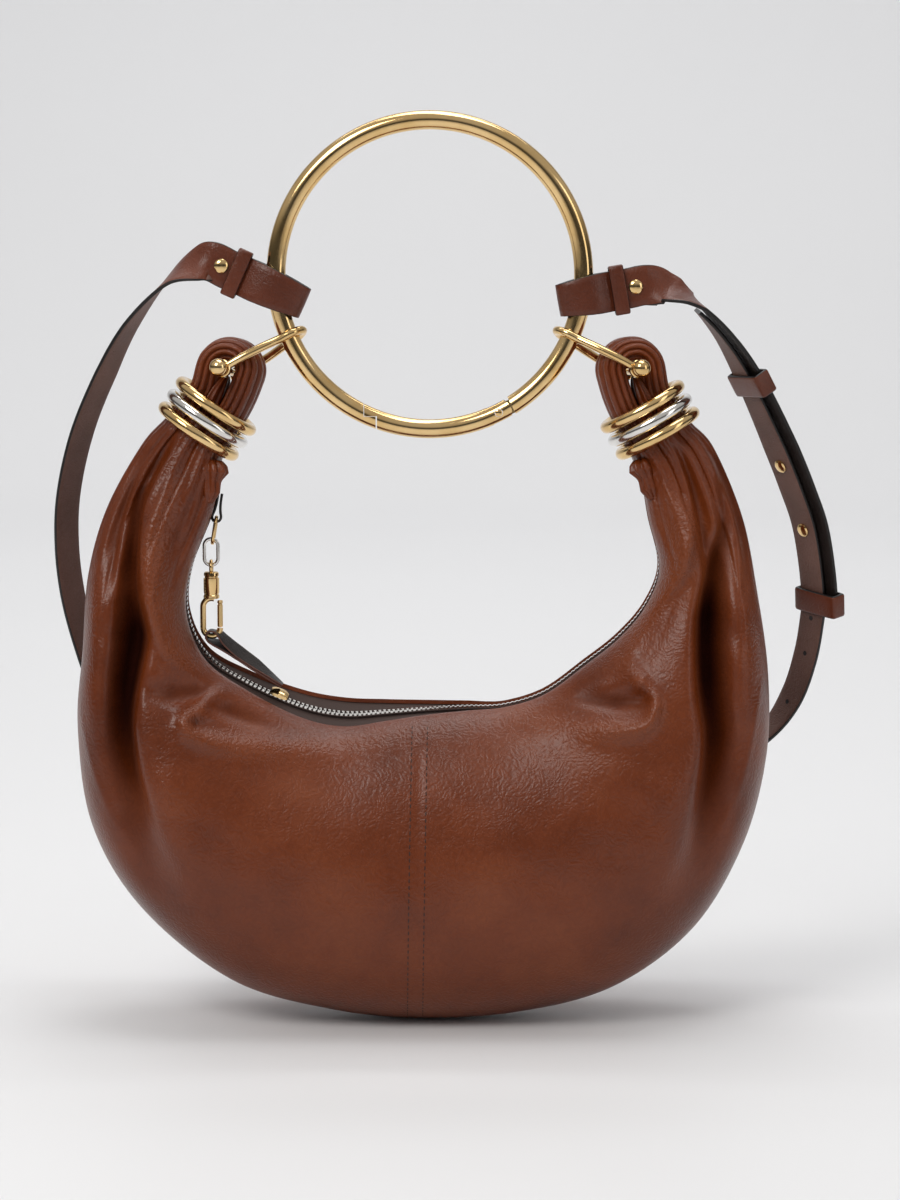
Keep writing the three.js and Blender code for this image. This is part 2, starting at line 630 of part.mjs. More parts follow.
// A flat leather strip through stations, each with its place, side direction and width
function ribbon(stations, thickness) {
  const rings = stations.map((station, i) => {
    const before = stations[Math.max(i - 1, 0)].place;
    const after = stations[Math.min(i + 1, stations.length - 1)].place;
    const along = after.clone().sub(before).normalize();
    const normal = along.clone().cross(station.side).normalize();
    const side = normal.clone().cross(along).normalize();
    const corner = (s, n) => station.place.clone().addScaledVector(side, (s * station.width) / 2)
      .addScaledVector(normal, (n * thickness) / 2);
    return [corner(-1, -1), corner(1, -1), corner(1, 1), corner(-1, 1)];
  });
  return sweepRings(rings);
}

// Frames along a smooth route, with the strip's outward normal
function framesAlong(rows, perRow) {
  const curve = new THREE.CatmullRomCurve3(rows.map((row) => row.place), false, 'centripetal');
  const count = (rows.length - 1) * perRow;
  return Array.from({ length: count + 1 }, (_, i) => {
    const share = i / count;
    const k = Math.min(Math.floor(i / perRow), rows.length - 2);
    const t = i / perRow - k;
    const along = curve.getTangent(share);
    const roughSide = rows[k].side.clone().lerp(rows[k + 1].side, t);
    const normal = along.clone().cross(roughSide).normalize();
    const side = normal.clone().cross(along).normalize();
    const width = mix(rows[k].width, rows[k + 1].width, t);
    return { place: curve.getPoint(share), side, normal, along, width };
  });
}

const offsetFrame = (frame, out, sideways = 0) => ({
  ...frame,
  place: frame.place.clone().addScaledVector(frame.normal, out).addScaledVector(frame.side, sideways),
});

// Strap stations: x and z in shares of half width and height, y of depth, and the side direction.
const strapRow = ({ x, z, y, sideX, sideY, sideZ, width }) => ({
  place: vec(bagCentreX + x * bagHalf, y * bagDepth, z * bagHeight),
  side: vec(sideX, sideY, sideZ).normalize(),
  width,
});
const shoulderWidth = mix(strapWidth, tabWidth, 0.4);
const hangingRows = [
  { x: -0.645, z: 1.203, y: 0.01, sideX: -0.25, sideY: -0.50, sideZ: -0.83, width: tabWidth },
  { x: -0.715, z: 1.182, y: 0.03, sideX: -0.25, sideY: -0.85, sideZ: -0.45, width: shoulderWidth },
  { x: -0.831, z: 1.109, y: 0.08, sideX: -0.45, sideY: -0.90, sideZ: -0.10, width: strapWidth },
  { x: -0.911, z: 1.029, y: 0.13, sideX: -0.60, sideY: -0.80, sideZ: 0.00, width: strapWidth },
  { x: -0.986, z: 0.933, y: 0.20, sideX: -0.64, sideY: -0.77, sideZ: 0.00, width: strapWidth },
  { x: -1.032, z: 0.829, y: 0.27, sideX: -0.64, sideY: -0.77, sideZ: 0.00, width: strapWidth },
  { x: -1.040, z: 0.749, y: 0.32, sideX: -0.64, sideY: -0.77, sideZ: 0.00, width: strapWidth },
  { x: -1.030, z: 0.676, y: 0.37, sideX: -0.64, sideY: -0.77, sideZ: 0.00, width: strapWidth },
  { x: -1.005, z: 0.603, y: 0.43, sideX: -0.60, sideY: -0.80, sideZ: 0.00, width: strapWidth },
  { x: -0.957, z: 0.508, y: 0.51, sideX: -0.40, sideY: -0.90, sideZ: 0.00, width: strapWidth },
  { x: -0.831, z: 0.387, y: 0.60, sideX: -0.20, sideY: -1.00, sideZ: 0.00, width: strapWidth },
  { x: -0.613, z: 0.292, y: 0.66, sideX: 0.00, sideY: -1.00, sideZ: 0.00, width: strapWidth },
  { x: -0.298, z: 0.235, y: 0.69, sideX: 0.00, sideY: -1.00, sideZ: 0.00, width: strapWidth },
  { x: 0.017, z: 0.216, y: 0.70, sideX: 0.00, sideY: -1.00, sideZ: 0.00, width: strapWidth },
  { x: 0.332, z: 0.235, y: 0.69, sideX: 0.00, sideY: -1.00, sideZ: 0.00, width: strapWidth },
  { x: 0.648, z: 0.295, y: 0.66, sideX: 0.00, sideY: -1.00, sideZ: 0.00, width: strapWidth },
  { x: 0.860, z: 0.370, y: 0.60, sideX: 0.20, sideY: -1.00, sideZ: 0.00, width: strapWidth },
  { x: 1.008, z: 0.436, y: 0.53, sideX: 0.40, sideY: -0.90, sideZ: 0.00, width: strapWidth },
  { x: 1.080, z: 0.498, y: 0.46, sideX: 0.60, sideY: -0.80, sideZ: 0.00, width: strapWidth },
  { x: 1.117, z: 0.565, y: 0.41, sideX: 0.64, sideY: -0.77, sideZ: 0.00, width: strapWidth },
  { x: 1.132, z: 0.622, y: 0.37, sideX: 0.64, sideY: -0.77, sideZ: 0.00, width: strapWidth },
].map(strapRow);
const doubleRows = [
  { x: 1.135, z: 0.660, y: 0.34, sideX: 0.64, sideY: -0.77, sideZ: 0.00, width: strapWidth },
  { x: 1.103, z: 0.778, y: 0.28, sideX: 0.64, sideY: -0.77, sideZ: 0.00, width: strapWidth },
  { x: 1.060, z: 0.844, y: 0.23, sideX: 0.64, sideY: -0.77, sideZ: 0.00, width: strapWidth },
  { x: 1.011, z: 0.908, y: 0.18, sideX: 0.62, sideY: -0.78, sideZ: 0.00, width: strapWidth },
  { x: 0.920, z: 1.014, y: 0.10, sideX: 0.50, sideY: -0.85, sideZ: -0.10, width: strapWidth },
  { x: 0.845, z: 1.085, y: 0.05, sideX: 0.35, sideY: -0.92, sideZ: -0.20, width: strapWidth },
  { x: 0.775, z: 1.130, y: 0.02, sideX: 0.28, sideY: -0.92, sideZ: -0.27, width: strapWidth },
].map(strapRow);
const endRows = [
  { x: 0.695, z: 1.165, y: 0.01, sideX: 0.18, sideY: -0.58, sideZ: -0.79, width: tabWidth },
].map(strapRow);

// A strap end folded round the ring handle: its tab points in millimetres along and off the strap
const ringTabs = [
  { side: -1, ringAngle: 84, tilt: 24 },
  { side: 1, ringAngle: 82, tilt: 10 },
];
const layerOut = strapThickness / 2 + 0.2;
const noseHalf = wireRadius + 2 * runGap + strapThickness / 2;

function ringTab({ side, ringAngle, tilt: degrees }) {
  const tilt = radians(degrees);
  const away = vec(side * Math.cos(tilt), 0, Math.sin(tilt));
  const sideWay = vec(side * Math.sin(tilt), 0, -Math.cos(tilt));
  const nose = ringPoint(side * ringAngle);
  const skew = radians(degrees + 90 - ringAngle);
  const wireReach = wireRadius / Math.cos(skew) + (tabWidth / 2) * Math.tan(skew)
    + tabWidth ** 2 / (8 * ringRadius);
  const noseReach = wireReach + strapThickness / 2 + 5 * seatGap;
  const place = (a, n) => nose.clone().addScaledVector(away, a).add(vec(0, -n, 0));
  const station = (a, n) => ({ place: place(a, n), side: sideWay, width: tabWidth });
  const start = noseReach + 3.3;
  const half = [
    [start - 2.6, 2.6], [0.76 * noseReach, 4.8], [0.3 * noseReach, noseHalf], [-0.3 * noseReach, noseHalf],
    [-0.76 * noseReach, 5.0], [-0.97 * noseReach, 2.7],
  ];
  const front = half.map(([a, n]) => station(a, n));
  const back = half.map(([a, n]) => station(a, -n));
  const bend = [...back, station(-noseReach, 0), ...front.reverse()];
  const middleRow = (a) => ({ place: place(a, 0), side: sideWay, width: tabWidth });
  return { bend, away, sideWay, place, start, middleRow };
}

function sleeve(frame, out, sideways, width, thickness, length) {
  const centre = offsetFrame(frame, out, sideways).place;
  const axes = [frame.side, frame.normal, frame.along];
  const outer = turnedBox(centre, axes, [width + 2 * keeperWall, thickness + 2 * keeperWall, length]);
  const inner = turnedBox(centre, axes, [width, thickness, 2 * length]);
  return cut(outer, inner);
}

// A stud through two layers: a head, a shank and a round back
const studShank = 2.6;

function studParts(frame, headOut, backOut) {
  const spot = (out) => frame.place.clone().addScaledVector(frame.normal, out);
  const way = Math.sign(headOut - backOut);
  const shank = bar(spot(headOut + way * 0.8), spot(backOut - way * 0.5), studShank / 2, 6);
  const head = bar(spot(headOut), spot(headOut + way * studHead), studDiameter / 2, 8);
  const back = bar(spot(backOut), spot(backOut - way), studDiameter / 2, 8);
  const reach = way * studDiameter / 2;
  const hole = bar(spot(headOut + reach), spot(backOut - reach), studShank / 2 + seatGap, 6);
  return { solid: joined(shank, head, back), hole };
}

const keeperRoom = 0.75;
const tabReach = [0, 9, 18];
const tabKeeperLength = 7.5;
const studHead = 1.6;

// Frames for each row of the route, and the frames where studs and keepers sit
const pairSteps = 3;
const returnCount = 3 * pairSteps;
const tabStudFrame = 4;
const runStudFrames = [3, 8];
const runKeeperFrames = [0, 12];

function straps() {
  const [left, right] = ringTabs.map(ringTab);
  const layerRoom = 2 * layerOut + strapThickness + 2 * keeperRoom;

  // The long strap: folded end, left side, round behind the bag and up the right side
  const tabRows = (tab) => tabReach.map((a) => tab.middleRow(tab.start + a));
  const allFrames = framesAlong(
    [...tabRows(left), ...hangingRows, ...doubleRows, ...endRows, ...tabRows(right).reverse()], pairSteps);
  const runStart = pairSteps * (tabReach.length + hangingRows.length);
  const runLength = pairSteps * (doubleRows.length - 1);
  const leftFrames = allFrames.slice(0, runStart + runLength + 1);
  const leftReturn = leftFrames.slice(0, returnCount).map((f) => offsetFrame(f, -layerOut)).reverse()
    .map((f) => ({ ...f, width: tabWidth }));
  const longStations = [...leftReturn, ...left.bend, ...leftFrames.map((f) => offsetFrame(f, layerOut))];
  const long = ribbon(longStations, strapThickness);

  // The short strap on the right lies on the long one, and its upper end folds round the ring
  const pairFrames = allFrames.slice(runStart).map((f) => ({ ...f, width: tabWidth }));
  const pairOut = layerOut + strapThickness + 2 * keeperRoom - 0.4;
  const shortFront = pairFrames.map((f, i) => {
    const near = clamp((i - runLength - 1) / (pairSteps - 1), 0, 1);
    return offsetFrame(f, mix(pairOut, layerOut, near), mix((tabWidth - strapWidth) / 2 + 2, 0, near));
  });
  const rightReturn = pairFrames.slice(-returnCount).map((f) => offsetFrame(f, -layerOut)).reverse();
  const short = ribbon([...shortFront, ...right.bend.slice().reverse(), ...rightReturn], strapThickness);

  // Studs near both ring tabs, and two through the doubled run
  const headGap = strapThickness / 2 + seatGap;
  const tabOut = layerOut + headGap;
  const rightFrame = pairFrames[pairFrames.length - 1 - tabStudFrame];
  const leftStud = studParts(leftFrames[tabStudFrame], tabOut, -tabOut);
  const rightStud = studParts(rightFrame, tabOut, -tabOut);
  const doubled = runStudFrames.map((k) => {
    const frame = leftFrames[runStart + k];
    return studParts(frame, layerOut - headGap, pairOut + headGap);
  });
  addPart('strap_long', cut(long, leftStud.hole, ...doubled.map((stud) => stud.hole)), 'leather');
  addPart('strap_short', cut(short, rightStud.hole, ...doubled.map((stud) => stud.hole)), 'leather');
  addPart('stud_left', leftStud.solid, 'gold');
  addPart('stud_right', rightStud.solid, 'gold');
  addPart('stud_run_lower', doubled[0].solid, 'gold');
  addPart('stud_run_upper', doubled[1].solid, 'gold');

  // Sleeves that hold the layers together
  const tabMiddle = (tab) => ({
    place: tab.place(tab.start + tabKeeperLength / 2 + seatGap, 0),
    side: tab.sideWay,
    normal: vec(0, -1, 0),
    along: tab.away,
  });
  const tabRoom = tabWidth + 2 * keeperRoom;
  addPart('keeper_tab_left', sleeve(tabMiddle(left), 0, 0, tabRoom, layerRoom, tabKeeperLength), 'leather');
  addPart('keeper_tab_right', sleeve(tabMiddle(right), 0, 0, tabRoom, layerRoom, tabKeeperLength), 'leather');
  const pairWidth = tabWidth + 3 + 2 * keeperRoom;
  const pairRoom = pairOut - layerOut + strapThickness + 2 * keeperRoom;
  const pairMiddle = (layerOut + pairOut) / 2;
  const runKeeper = (k) => sleeve(
    leftFrames[runStart + k], pairMiddle, 3, pairWidth, pairRoom, keeperLength);
  addPart('keeper_run_lower', runKeeper(runKeeperFrames[0]), 'leather');
  addPart('keeper_run_upper', runKeeper(runKeeperFrames[1]), 'leather');
}

// The key chain at the left of the mouth: leather tab, two links, snap hook and the zip's pull
function chain() {
  const edge = vec(bagCentreX - 0.600 * bagHalf, 0, 0.786 * bagHeight);
  const wire = linkWire / 2;
  const pitch = linkLength - 2 * linkWire - seatGap;
  const lean = vec(0.16, 0, 0.987);
  const first = edge.clone();
  const second = first.clone().addScaledVector(lean, -pitch);
  addPart('chain_link_upper', ovalLink(first, lean, vec(0, 1, 0), linkLength, linkWidth, wire), 'gold');
  const lower = ovalLink(second, vec(0, 0, 1), vec(1, 0, 0), linkLength, linkWidth, wire);
  addPart('chain_link_lower', lower, 'silver');

  const tabTop = first.clone().addScaledVector(lean, linkLength / 2 - wire);
  const tabHalf = wire + 2 * runGap + 0.6;
  const tabPlace = (a, s) => tabTop.clone().addScaledVector(lean, a).add(vec(s, 0, -0.16 * s));
  const tabStations = [
    [12, 0.95], [7, 1.0], [3, 1.5], [0, tabHalf], [-0.75 * tabHalf, 0.7 * tabHalf], [-tabHalf, 0],
    [-0.75 * tabHalf, -0.7 * tabHalf], [0, -tabHalf], [3, -1.5], [7, -1.0], [12, -0.95],
  ].map(([a, s]) => ({ place: tabPlace(a, s), side: vec(0, 1, 0), width: 3 }));
  addPart('chain_tab', ribbon(tabStations, 1.2), 'leatherBack');

  // The snap hook: an eye, a barrel and an oval hook whose right side is a sprung lever
  const eye = second.clone().add(vec(0, 0, -linkLength / 2 + wire + linkWire + seatGap - eyeRadius));
  const barrelTop = eye.z - eyeRadius + 0.6;
  const barrelLow = barrelTop - barrelLength;
  const x = eye.x;
  const at = (dx, z) => vec(x + dx, 0, z);
  const hookCentre = barrelLow + 1.6 - hookLength / 2;
  const eyeRing = wireRing(eye, vec(1, 0, 0), eyeRadius, wire, 12, 6);
  const barrel = bar(at(0, barrelLow), at(0, barrelTop), barrelRadius, 12);
  const oval = ovalLink(at(0, hookCentre), vec(0, 0, 1), vec(1, 0, 0), hookLength, hookWidth,
    hookWire / 2, 16, 6);
  const leverX = (hookWidth - hookWire) / 2;
  const leverEndGap = 0.5;
  const leverTop = barrelLow - runGap;
  const leverLow = hookCentre - hookLength / 2 + hookWidth / 2;
  const gapPlace = at(leverX + leverEndGap, (leverTop + leverLow) / 2);
  const gap = turnedBox(gapPlace, [vec(1, 0, 0), vec(0, 1, 0), vec(0, 0, 1)],
    [2 * hookWire, 3 * hookWire, leverTop - leverLow + 0.2]);
  addPart('hook', joined(eyeRing, cut(joined(barrel, oval), gap)), 'gold');
  const leverRadius = hookWire / 2 - 0.1;
  const lever = bar(at(leverX, leverLow + runGap), at(leverX, leverTop - leverEndGap), leverRadius, 10);
  addPart('hook_lever', lever, 'gold');

  // The zip's leather pull hangs on the hook and ends at the slider
  const hookBar = hookCentre - hookLength / 2 + hookWire / 2;
  const hole = bar(at(-6, hookBar), at(6, hookBar), hookWire / 2 + 2 * seatGap, 10);
  const slider = zipPlace(sliderShare, 0, sliderRise + sliderHeight + pullThickness / 2 + pullWidth / 5);
  const low = vec(x, 0, hookBar);
  const route = [
    low.clone().add(vec(0, 0, 4.4)), low.clone(), low.clone().add(vec(0.6, 0, -5)),
    low.clone().add(vec(5, 0, -10)), low.clone().lerp(slider, 0.3).add(vec(0, 0, -1)),
    low.clone().lerp(slider, 0.6), slider,
  ].map((place) => ({ place, side: vec(0, 1, 0), width: pullWidth }));
  addPart('zip_pull', cut(ribbon(framesAlong(route, 3), pullThickness), hole), 'leatherBack');
}

ringHandle();
necks.forEach((neck) => {
  collars(neck);
  neckLoop(neck);
  shackle(neck);
});
leatherBody();
zip();
straps();
chain();

export default model;
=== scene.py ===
import bpy
import bmesh
import json
import math
import numpy as np
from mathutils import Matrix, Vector
from mathutils.bvhtree import BVHTree

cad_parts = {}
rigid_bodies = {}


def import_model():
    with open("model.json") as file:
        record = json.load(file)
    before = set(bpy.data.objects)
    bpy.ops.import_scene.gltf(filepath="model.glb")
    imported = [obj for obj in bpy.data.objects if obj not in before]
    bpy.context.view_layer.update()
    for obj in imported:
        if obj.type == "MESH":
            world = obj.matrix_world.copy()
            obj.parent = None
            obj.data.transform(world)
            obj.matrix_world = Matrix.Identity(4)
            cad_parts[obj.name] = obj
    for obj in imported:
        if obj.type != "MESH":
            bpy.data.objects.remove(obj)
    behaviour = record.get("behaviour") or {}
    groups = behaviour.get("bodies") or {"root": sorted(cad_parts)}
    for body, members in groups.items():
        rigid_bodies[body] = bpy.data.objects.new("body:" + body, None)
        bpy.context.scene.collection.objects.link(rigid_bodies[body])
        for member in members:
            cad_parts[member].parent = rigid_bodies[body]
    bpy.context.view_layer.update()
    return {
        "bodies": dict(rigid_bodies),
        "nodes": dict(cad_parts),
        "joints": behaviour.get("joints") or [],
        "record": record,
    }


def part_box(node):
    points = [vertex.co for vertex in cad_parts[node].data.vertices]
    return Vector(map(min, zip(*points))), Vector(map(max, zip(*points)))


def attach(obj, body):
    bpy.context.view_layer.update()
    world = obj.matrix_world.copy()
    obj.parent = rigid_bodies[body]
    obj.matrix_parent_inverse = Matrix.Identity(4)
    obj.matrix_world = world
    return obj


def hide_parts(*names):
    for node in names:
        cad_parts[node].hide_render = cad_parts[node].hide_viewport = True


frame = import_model()
print("frame loaded:", len(frame["nodes"]), "nodes")

# Sizes shared by all pieces, in millimetres; heights are above the base of the bag
bag = {
    "width": 349.0, "height": 315.0, "depth": 100.0, "wall": 2.0, "centreX": -3.0, "mouthGap": 23.0,
    "ringRadius": 76.2, "ringWire": 9.5, "ringCentreHeight": 374.5, "neckDiameter": 34.4,
    "collarWire": 6.0, "collarPitch": 7.6, "seatGap": 0.3, "runGap": 0.35,
}
bagHalf = bag["width"] / 2
neckRadius = bag["neckDiameter"] / 2
wireRadius = bag["ringWire"] / 2
seatGap = bag["seatGap"]
runGap = bag["runGap"]
hangHeight = bag["ringCentreHeight"] + bag["ringRadius"] - wireRadius
floorHeight = min(corner[2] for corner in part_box("bag_body"))


def vec(x, y, z):
    return np.array([x, y, z], dtype=float)


def unit(v):
    return v / np.linalg.norm(v)


def smoothStep(t):
    t = np.clip(t, 0, 1)
    return t * t * (3 - 2 * t)


# Makes a piece from millimetre points; its place is in its mesh
def newPiece(name, points, faces, materials, faceMaterials=None, sharpAngle=None):
    places = np.asarray(points, dtype=float).reshape(-1, 3) - vec(0, 0, hangHeight)
    mesh = bpy.data.meshes.new(name)
    mesh.from_pydata([tuple(p) for p in places / 1000], [], [tuple(f) for f in faces])
    for material in materials:
        mesh.materials.append(material)
    if faceMaterials is not None:
        mesh.polygons.foreach_set("material_index", np.asarray(faceMaterials, dtype=np.int32))
    piece = bpy.data.objects.new(name, mesh)
    bpy.context.scene.collection.objects.link(piece)
    form = bmesh.new()
    form.from_mesh(mesh)
    bmesh.ops.recalc_face_normals(form, faces=form.faces)
    form.to_mesh(mesh)
    form.free()
    mesh.shade_smooth()
    if sharpAngle is not None:
        mesh.set_sharp_from_angle(angle=math.radians(sharpAngle))
    return piece


# Quads between neighbouring rings; loops closes each ring, chain closes the row of rings
def ringFaces(count, sides, chain=False):
    faces = []
    for i in range(count if chain else count - 1):
        a = i * sides
        b = ((i + 1) % count) * sides
        for j in range(sides):
            k = (j + 1) % sides
            faces.append((a + j, a + k, b + k, b + j))
    if not chain:
        faces.append(tuple(range(sides - 1, -1, -1)))
        faces.append(tuple(range((count - 1) * sides, count * sides)))
    return faces


# Rings of a round wire along points, carried without twist
def tubeRings(points, radius, sides, closed=False):
    points = np.asarray(points, dtype=float)
    count = len(points)
    if closed:
        along = np.roll(points, -1, 0) - np.roll(points, 1, 0)
    else:
        along = np.gradient(points, axis=0)
    along /= np.linalg.norm(along, axis=1)[:, None]
    start = vec(0, 1, 0) if abs(along[0][1]) < 0.9 else vec(1, 0, 0)
    across = unit(np.cross(along[0], start))
    rings = []
    radii = np.broadcast_to(radius, (count,))
    turns = np.arange(sides) / sides * 2 * math.pi
    for i in range(count):
        across = unit(across - along[i] * np.dot(across, along[i]))
        other = np.cross(along[i], across)
        rings.append(points[i] + radii[i] * (np.outer(np.cos(turns), across) + np.outer(np.sin(turns), other)))
    return np.array(rings)


def tubePiece(name, points, radius, material, sides=16, closed=False):
    rings = tubeRings(points, radius, sides, closed)
    return newPiece(name, rings, ringFaces(len(rings), sides, closed), [material], sharpAngle=50)


def circlePoints(centre, axis, radius, steps):
    axis = unit(axis)
    side = unit(np.cross(axis, vec(0, 0, 1) if abs(axis[2]) < 0.9 else vec(1, 0, 0)))
    other = np.cross(axis, side)
    turns = np.arange(steps) / steps * 2 * math.pi
    return centre + radius * (np.outer(np.cos(turns), side) + np.outer(np.sin(turns), other))


# A turned form about an axis: profile rows are (height along the axis, radius)
def lathePiece(name, origin, axis, profile, material, sides=32):
    axis = unit(axis)
    rings = [circlePoints(origin + axis * height, axis, max(radius, 0.01), sides) for height, radius in profile]
    return newPiece(name, rings, ringFaces(len(rings), sides), [material], sharpAngle=40)


# The same smooth route as the solids follow: a centripetal curve through the rows
def curvePoint(points, row):
    k = min(int(row), len(points) - 2)
    t = row - k
    p1, p2 = points[k], points[k + 1]
    p0 = points[k - 1] if k > 0 else 2 * p1 - p2
    p3 = points[k + 2] if k + 2 < len(points) else 2 * p2 - p1
    d0, d1, d2 = [max(np.linalg.norm(b - a) ** 0.5, 1e-4) for a, b in ((p0, p1), (p1, p2), (p2, p3))]
    t1 = ((p1 - p0) / d0 - (p2 - p0) / (d0 + d1) + (p2 - p1) / d1) * d1
    t2 = ((p2 - p1) / d1 - (p3 - p1) / (d1 + d2) + (p3 - p2) / d2) * d1
    return p1 + t1 * t + (3 * (p2 - p1) - 2 * t1 - t2) * t * t + (2 * (p1 - p2) + t1 + t2) * t ** 3


def curvePoints(points, steps):
    points = [np.asarray(p, dtype=float) for p in points]
    return np.array([curvePoint(points, row) for row in np.linspace(0, len(points) - 1, steps)])


def joinPieces(name, pieces):
    form = bmesh.new()
    materials = []
    for piece in pieces:
        start = len(form.faces)
        slots = [materials.index(m) if m in materials else materials.append(m) or len(materials) - 1
                 for m in piece.data.materials]
        form.from_mesh(piece.data)
        form.faces.ensure_lookup_table()
        for face in form.faces[start:]:
            face.material_index = slots[face.material_index]
    mesh = bpy.data.meshes.new(name)
    form.to_mesh(mesh)
    form.free()
    for piece in pieces:
        bpy.data.objects.remove(piece)
    for material in materials:
        mesh.materials.append(material)
    whole = bpy.data.objects.new(name, mesh)
    bpy.context.scene.collection.objects.link(whole)
    return whole


# Materials


def newMaterial(name, **values):
    material = bpy.data.materials.new(name)
    material.use_nodes = True
    shader = material.node_tree.nodes["Principled BSDF"]
    for key, value in values.items():
        shader.inputs[key].default_value = value
    return material, material.node_tree, shader


def addNode(tree, kind, inputs=None, **settings):
    node = tree.nodes.new(kind)
    for key, value in settings.items():
        setattr(node, key, value)
    for key, value in (inputs or {}).items():
        if isinstance(value, bpy.types.NodeSocket):
            tree.links.new(value, node.inputs[key])
        else:
            node.inputs[key].default_value = value
    return node


def rampNode(tree, factor, stops):
    node = addNode(tree, "ShaderNodeValToRGB", {"Fac": factor})
    ramp = node.color_ramp
    while len(ramp.elements) < len(stops):
        ramp.elements.new(0.5)
    for element, (place, colour) in zip(ramp.elements, stops):
        element.position = place
        element.color = colour if len(colour) == 4 else (*colour, 1)
    return node


# Pebbled leather: cells of grain with fine creases, clouds of colour, and a piece's own attribute that paints shade
# into fold hollows and highlight onto fold crests
def leatherMaterial(name, deep, middle, light, cell, bump, roughness, coat=0.12, foldShadeAndHighlight=False):
    material, tree, shader = newMaterial(name)
    shader.inputs["Coat Weight"].default_value = coat
    shader.inputs["Coat Roughness"].default_value = 0.32
    shader.inputs["Specular IOR Level"].default_value = 0.34
    place = addNode(tree, "ShaderNodeTexCoord").outputs["Object"]
    warp = addNode(tree, "ShaderNodeTexNoise", {"Vector": place, "Scale": 90.0, "Detail": 3.0})
    bent = addNode(tree, "ShaderNodeMixRGB", {"Fac": 0.012, "Color1": place, "Color2": warp.outputs["Color"]})
    grain = addNode(tree, "ShaderNodeTexVoronoi", {"Vector": bent.outputs[0], "Scale": 1000.0 / cell},
                    feature="SMOOTH_F1")
    fine = addNode(tree, "ShaderNodeTexNoise", {"Vector": place, "Scale": 2600.0 / cell, "Detail": 4.0})
    cloud = addNode(tree, "ShaderNodeTexNoise", {"Vector": place, "Scale": 16.0, "Detail": 5.0, "Roughness": 0.6})
    tint = rampNode(tree, cloud.outputs["Fac"], [(0.30, deep), (0.52, middle), (0.74, light)])
    speck = rampNode(tree, grain.outputs["Distance"], [(0.15, (1, 1, 1)), (0.75, (0.74, 0.70, 0.68))])
    colour = addNode(tree, "ShaderNodeMixRGB", {"Fac": 0.55, "Color1": tint.outputs[0], "Color2": speck.outputs[0]},
                     blend_type="MULTIPLY")
    out = colour.outputs[0]
    strength = bump
    hollow = None
    if foldShadeAndHighlight:
        foldLightLevel = addNode(tree, "ShaderNodeAttribute", attribute_name="foldShadeAndHighlight").outputs["Fac"]
        # Painted highlight: fold crests are mixed halfway to the light tone. Painted shade: deep fold hollows are
        # multiplied towards near black.
        paintedHighlight = addNode(tree, "ShaderNodeMixRGB", {"Fac": 0.5, "Color1": out, "Color2": (*light, 1)})
        paintedShade = addNode(tree, "ShaderNodeMixRGB", {"Fac": 1.0, "Color1": out, "Color2": (0.12, 0.08, 0.07, 1)},
                         blend_type="MULTIPLY")
        crest = addNode(tree, "ShaderNodeMapRange", {"Value": foldLightLevel, "From Min": 0.55, "From Max": 1.0})
        hollow = addNode(tree, "ShaderNodeMapRange", {"Value": foldLightLevel, "From Min": 0.15, "From Max": -0.85})
        out = addNode(tree, "ShaderNodeMixRGB", {"Fac": crest.outputs[0], "Color1": out,
                                                 "Color2": paintedHighlight.outputs[0]}).outputs[0]
        out = addNode(tree, "ShaderNodeMixRGB", {"Fac": hollow.outputs[0], "Color1": out,
                                                 "Color2": paintedShade.outputs[0]}).outputs[0]
        strength = addNode(tree, "ShaderNodeMapRange", {"Value": foldLightLevel, "From Min": 0.4, "From Max": 0.9,
                                                        "To Min": bump * 0.45, "To Max": bump * 1.5}).outputs[0]
    tree.links.new(out, shader.inputs["Base Color"])
    rough = addNode(tree, "ShaderNodeMapRange", {"Value": cloud.outputs["Fac"], "From Min": 0.3, "From Max": 0.7,
                                                 "To Min": roughness - 0.05, "To Max": roughness + 0.07})
    roughOut = rough.outputs[0]
    if hollow is not None:
        roughOut = addNode(tree, "ShaderNodeMapRange", {"Value": hollow.outputs[0], "From Max": 0.6,
                                                        "To Min": roughOut, "To Max": 0.9}).outputs[0]
        sheen = addNode(tree, "ShaderNodeMapRange", {"Value": hollow.outputs[0], "From Max": 0.6,
                                                     "To Min": 0.34, "To Max": 0.05}).outputs[0]
        tree.links.new(sheen, shader.inputs["Specular IOR Level"])
        film = addNode(tree, "ShaderNodeMapRange", {"Value": hollow.outputs[0], "From Max": 0.3,
                                                    "To Min": coat, "To Max": 0.0}).outputs[0]
        tree.links.new(film, shader.inputs["Coat Weight"])
    tree.links.new(roughOut, shader.inputs["Roughness"])
    small = addNode(tree, "ShaderNodeBump", {"Height": fine.outputs["Fac"], "Strength": 0.12, "Distance": 0.0003})
    pebble = addNode(tree, "ShaderNodeBump", {"Height": grain.outputs["Distance"], "Strength": strength,
                                              "Distance": 0.0008, "Normal": small.outputs[0]}, invert=True)
    tree.links.new(pebble.outputs[0], shader.inputs["Normal"])
    return material


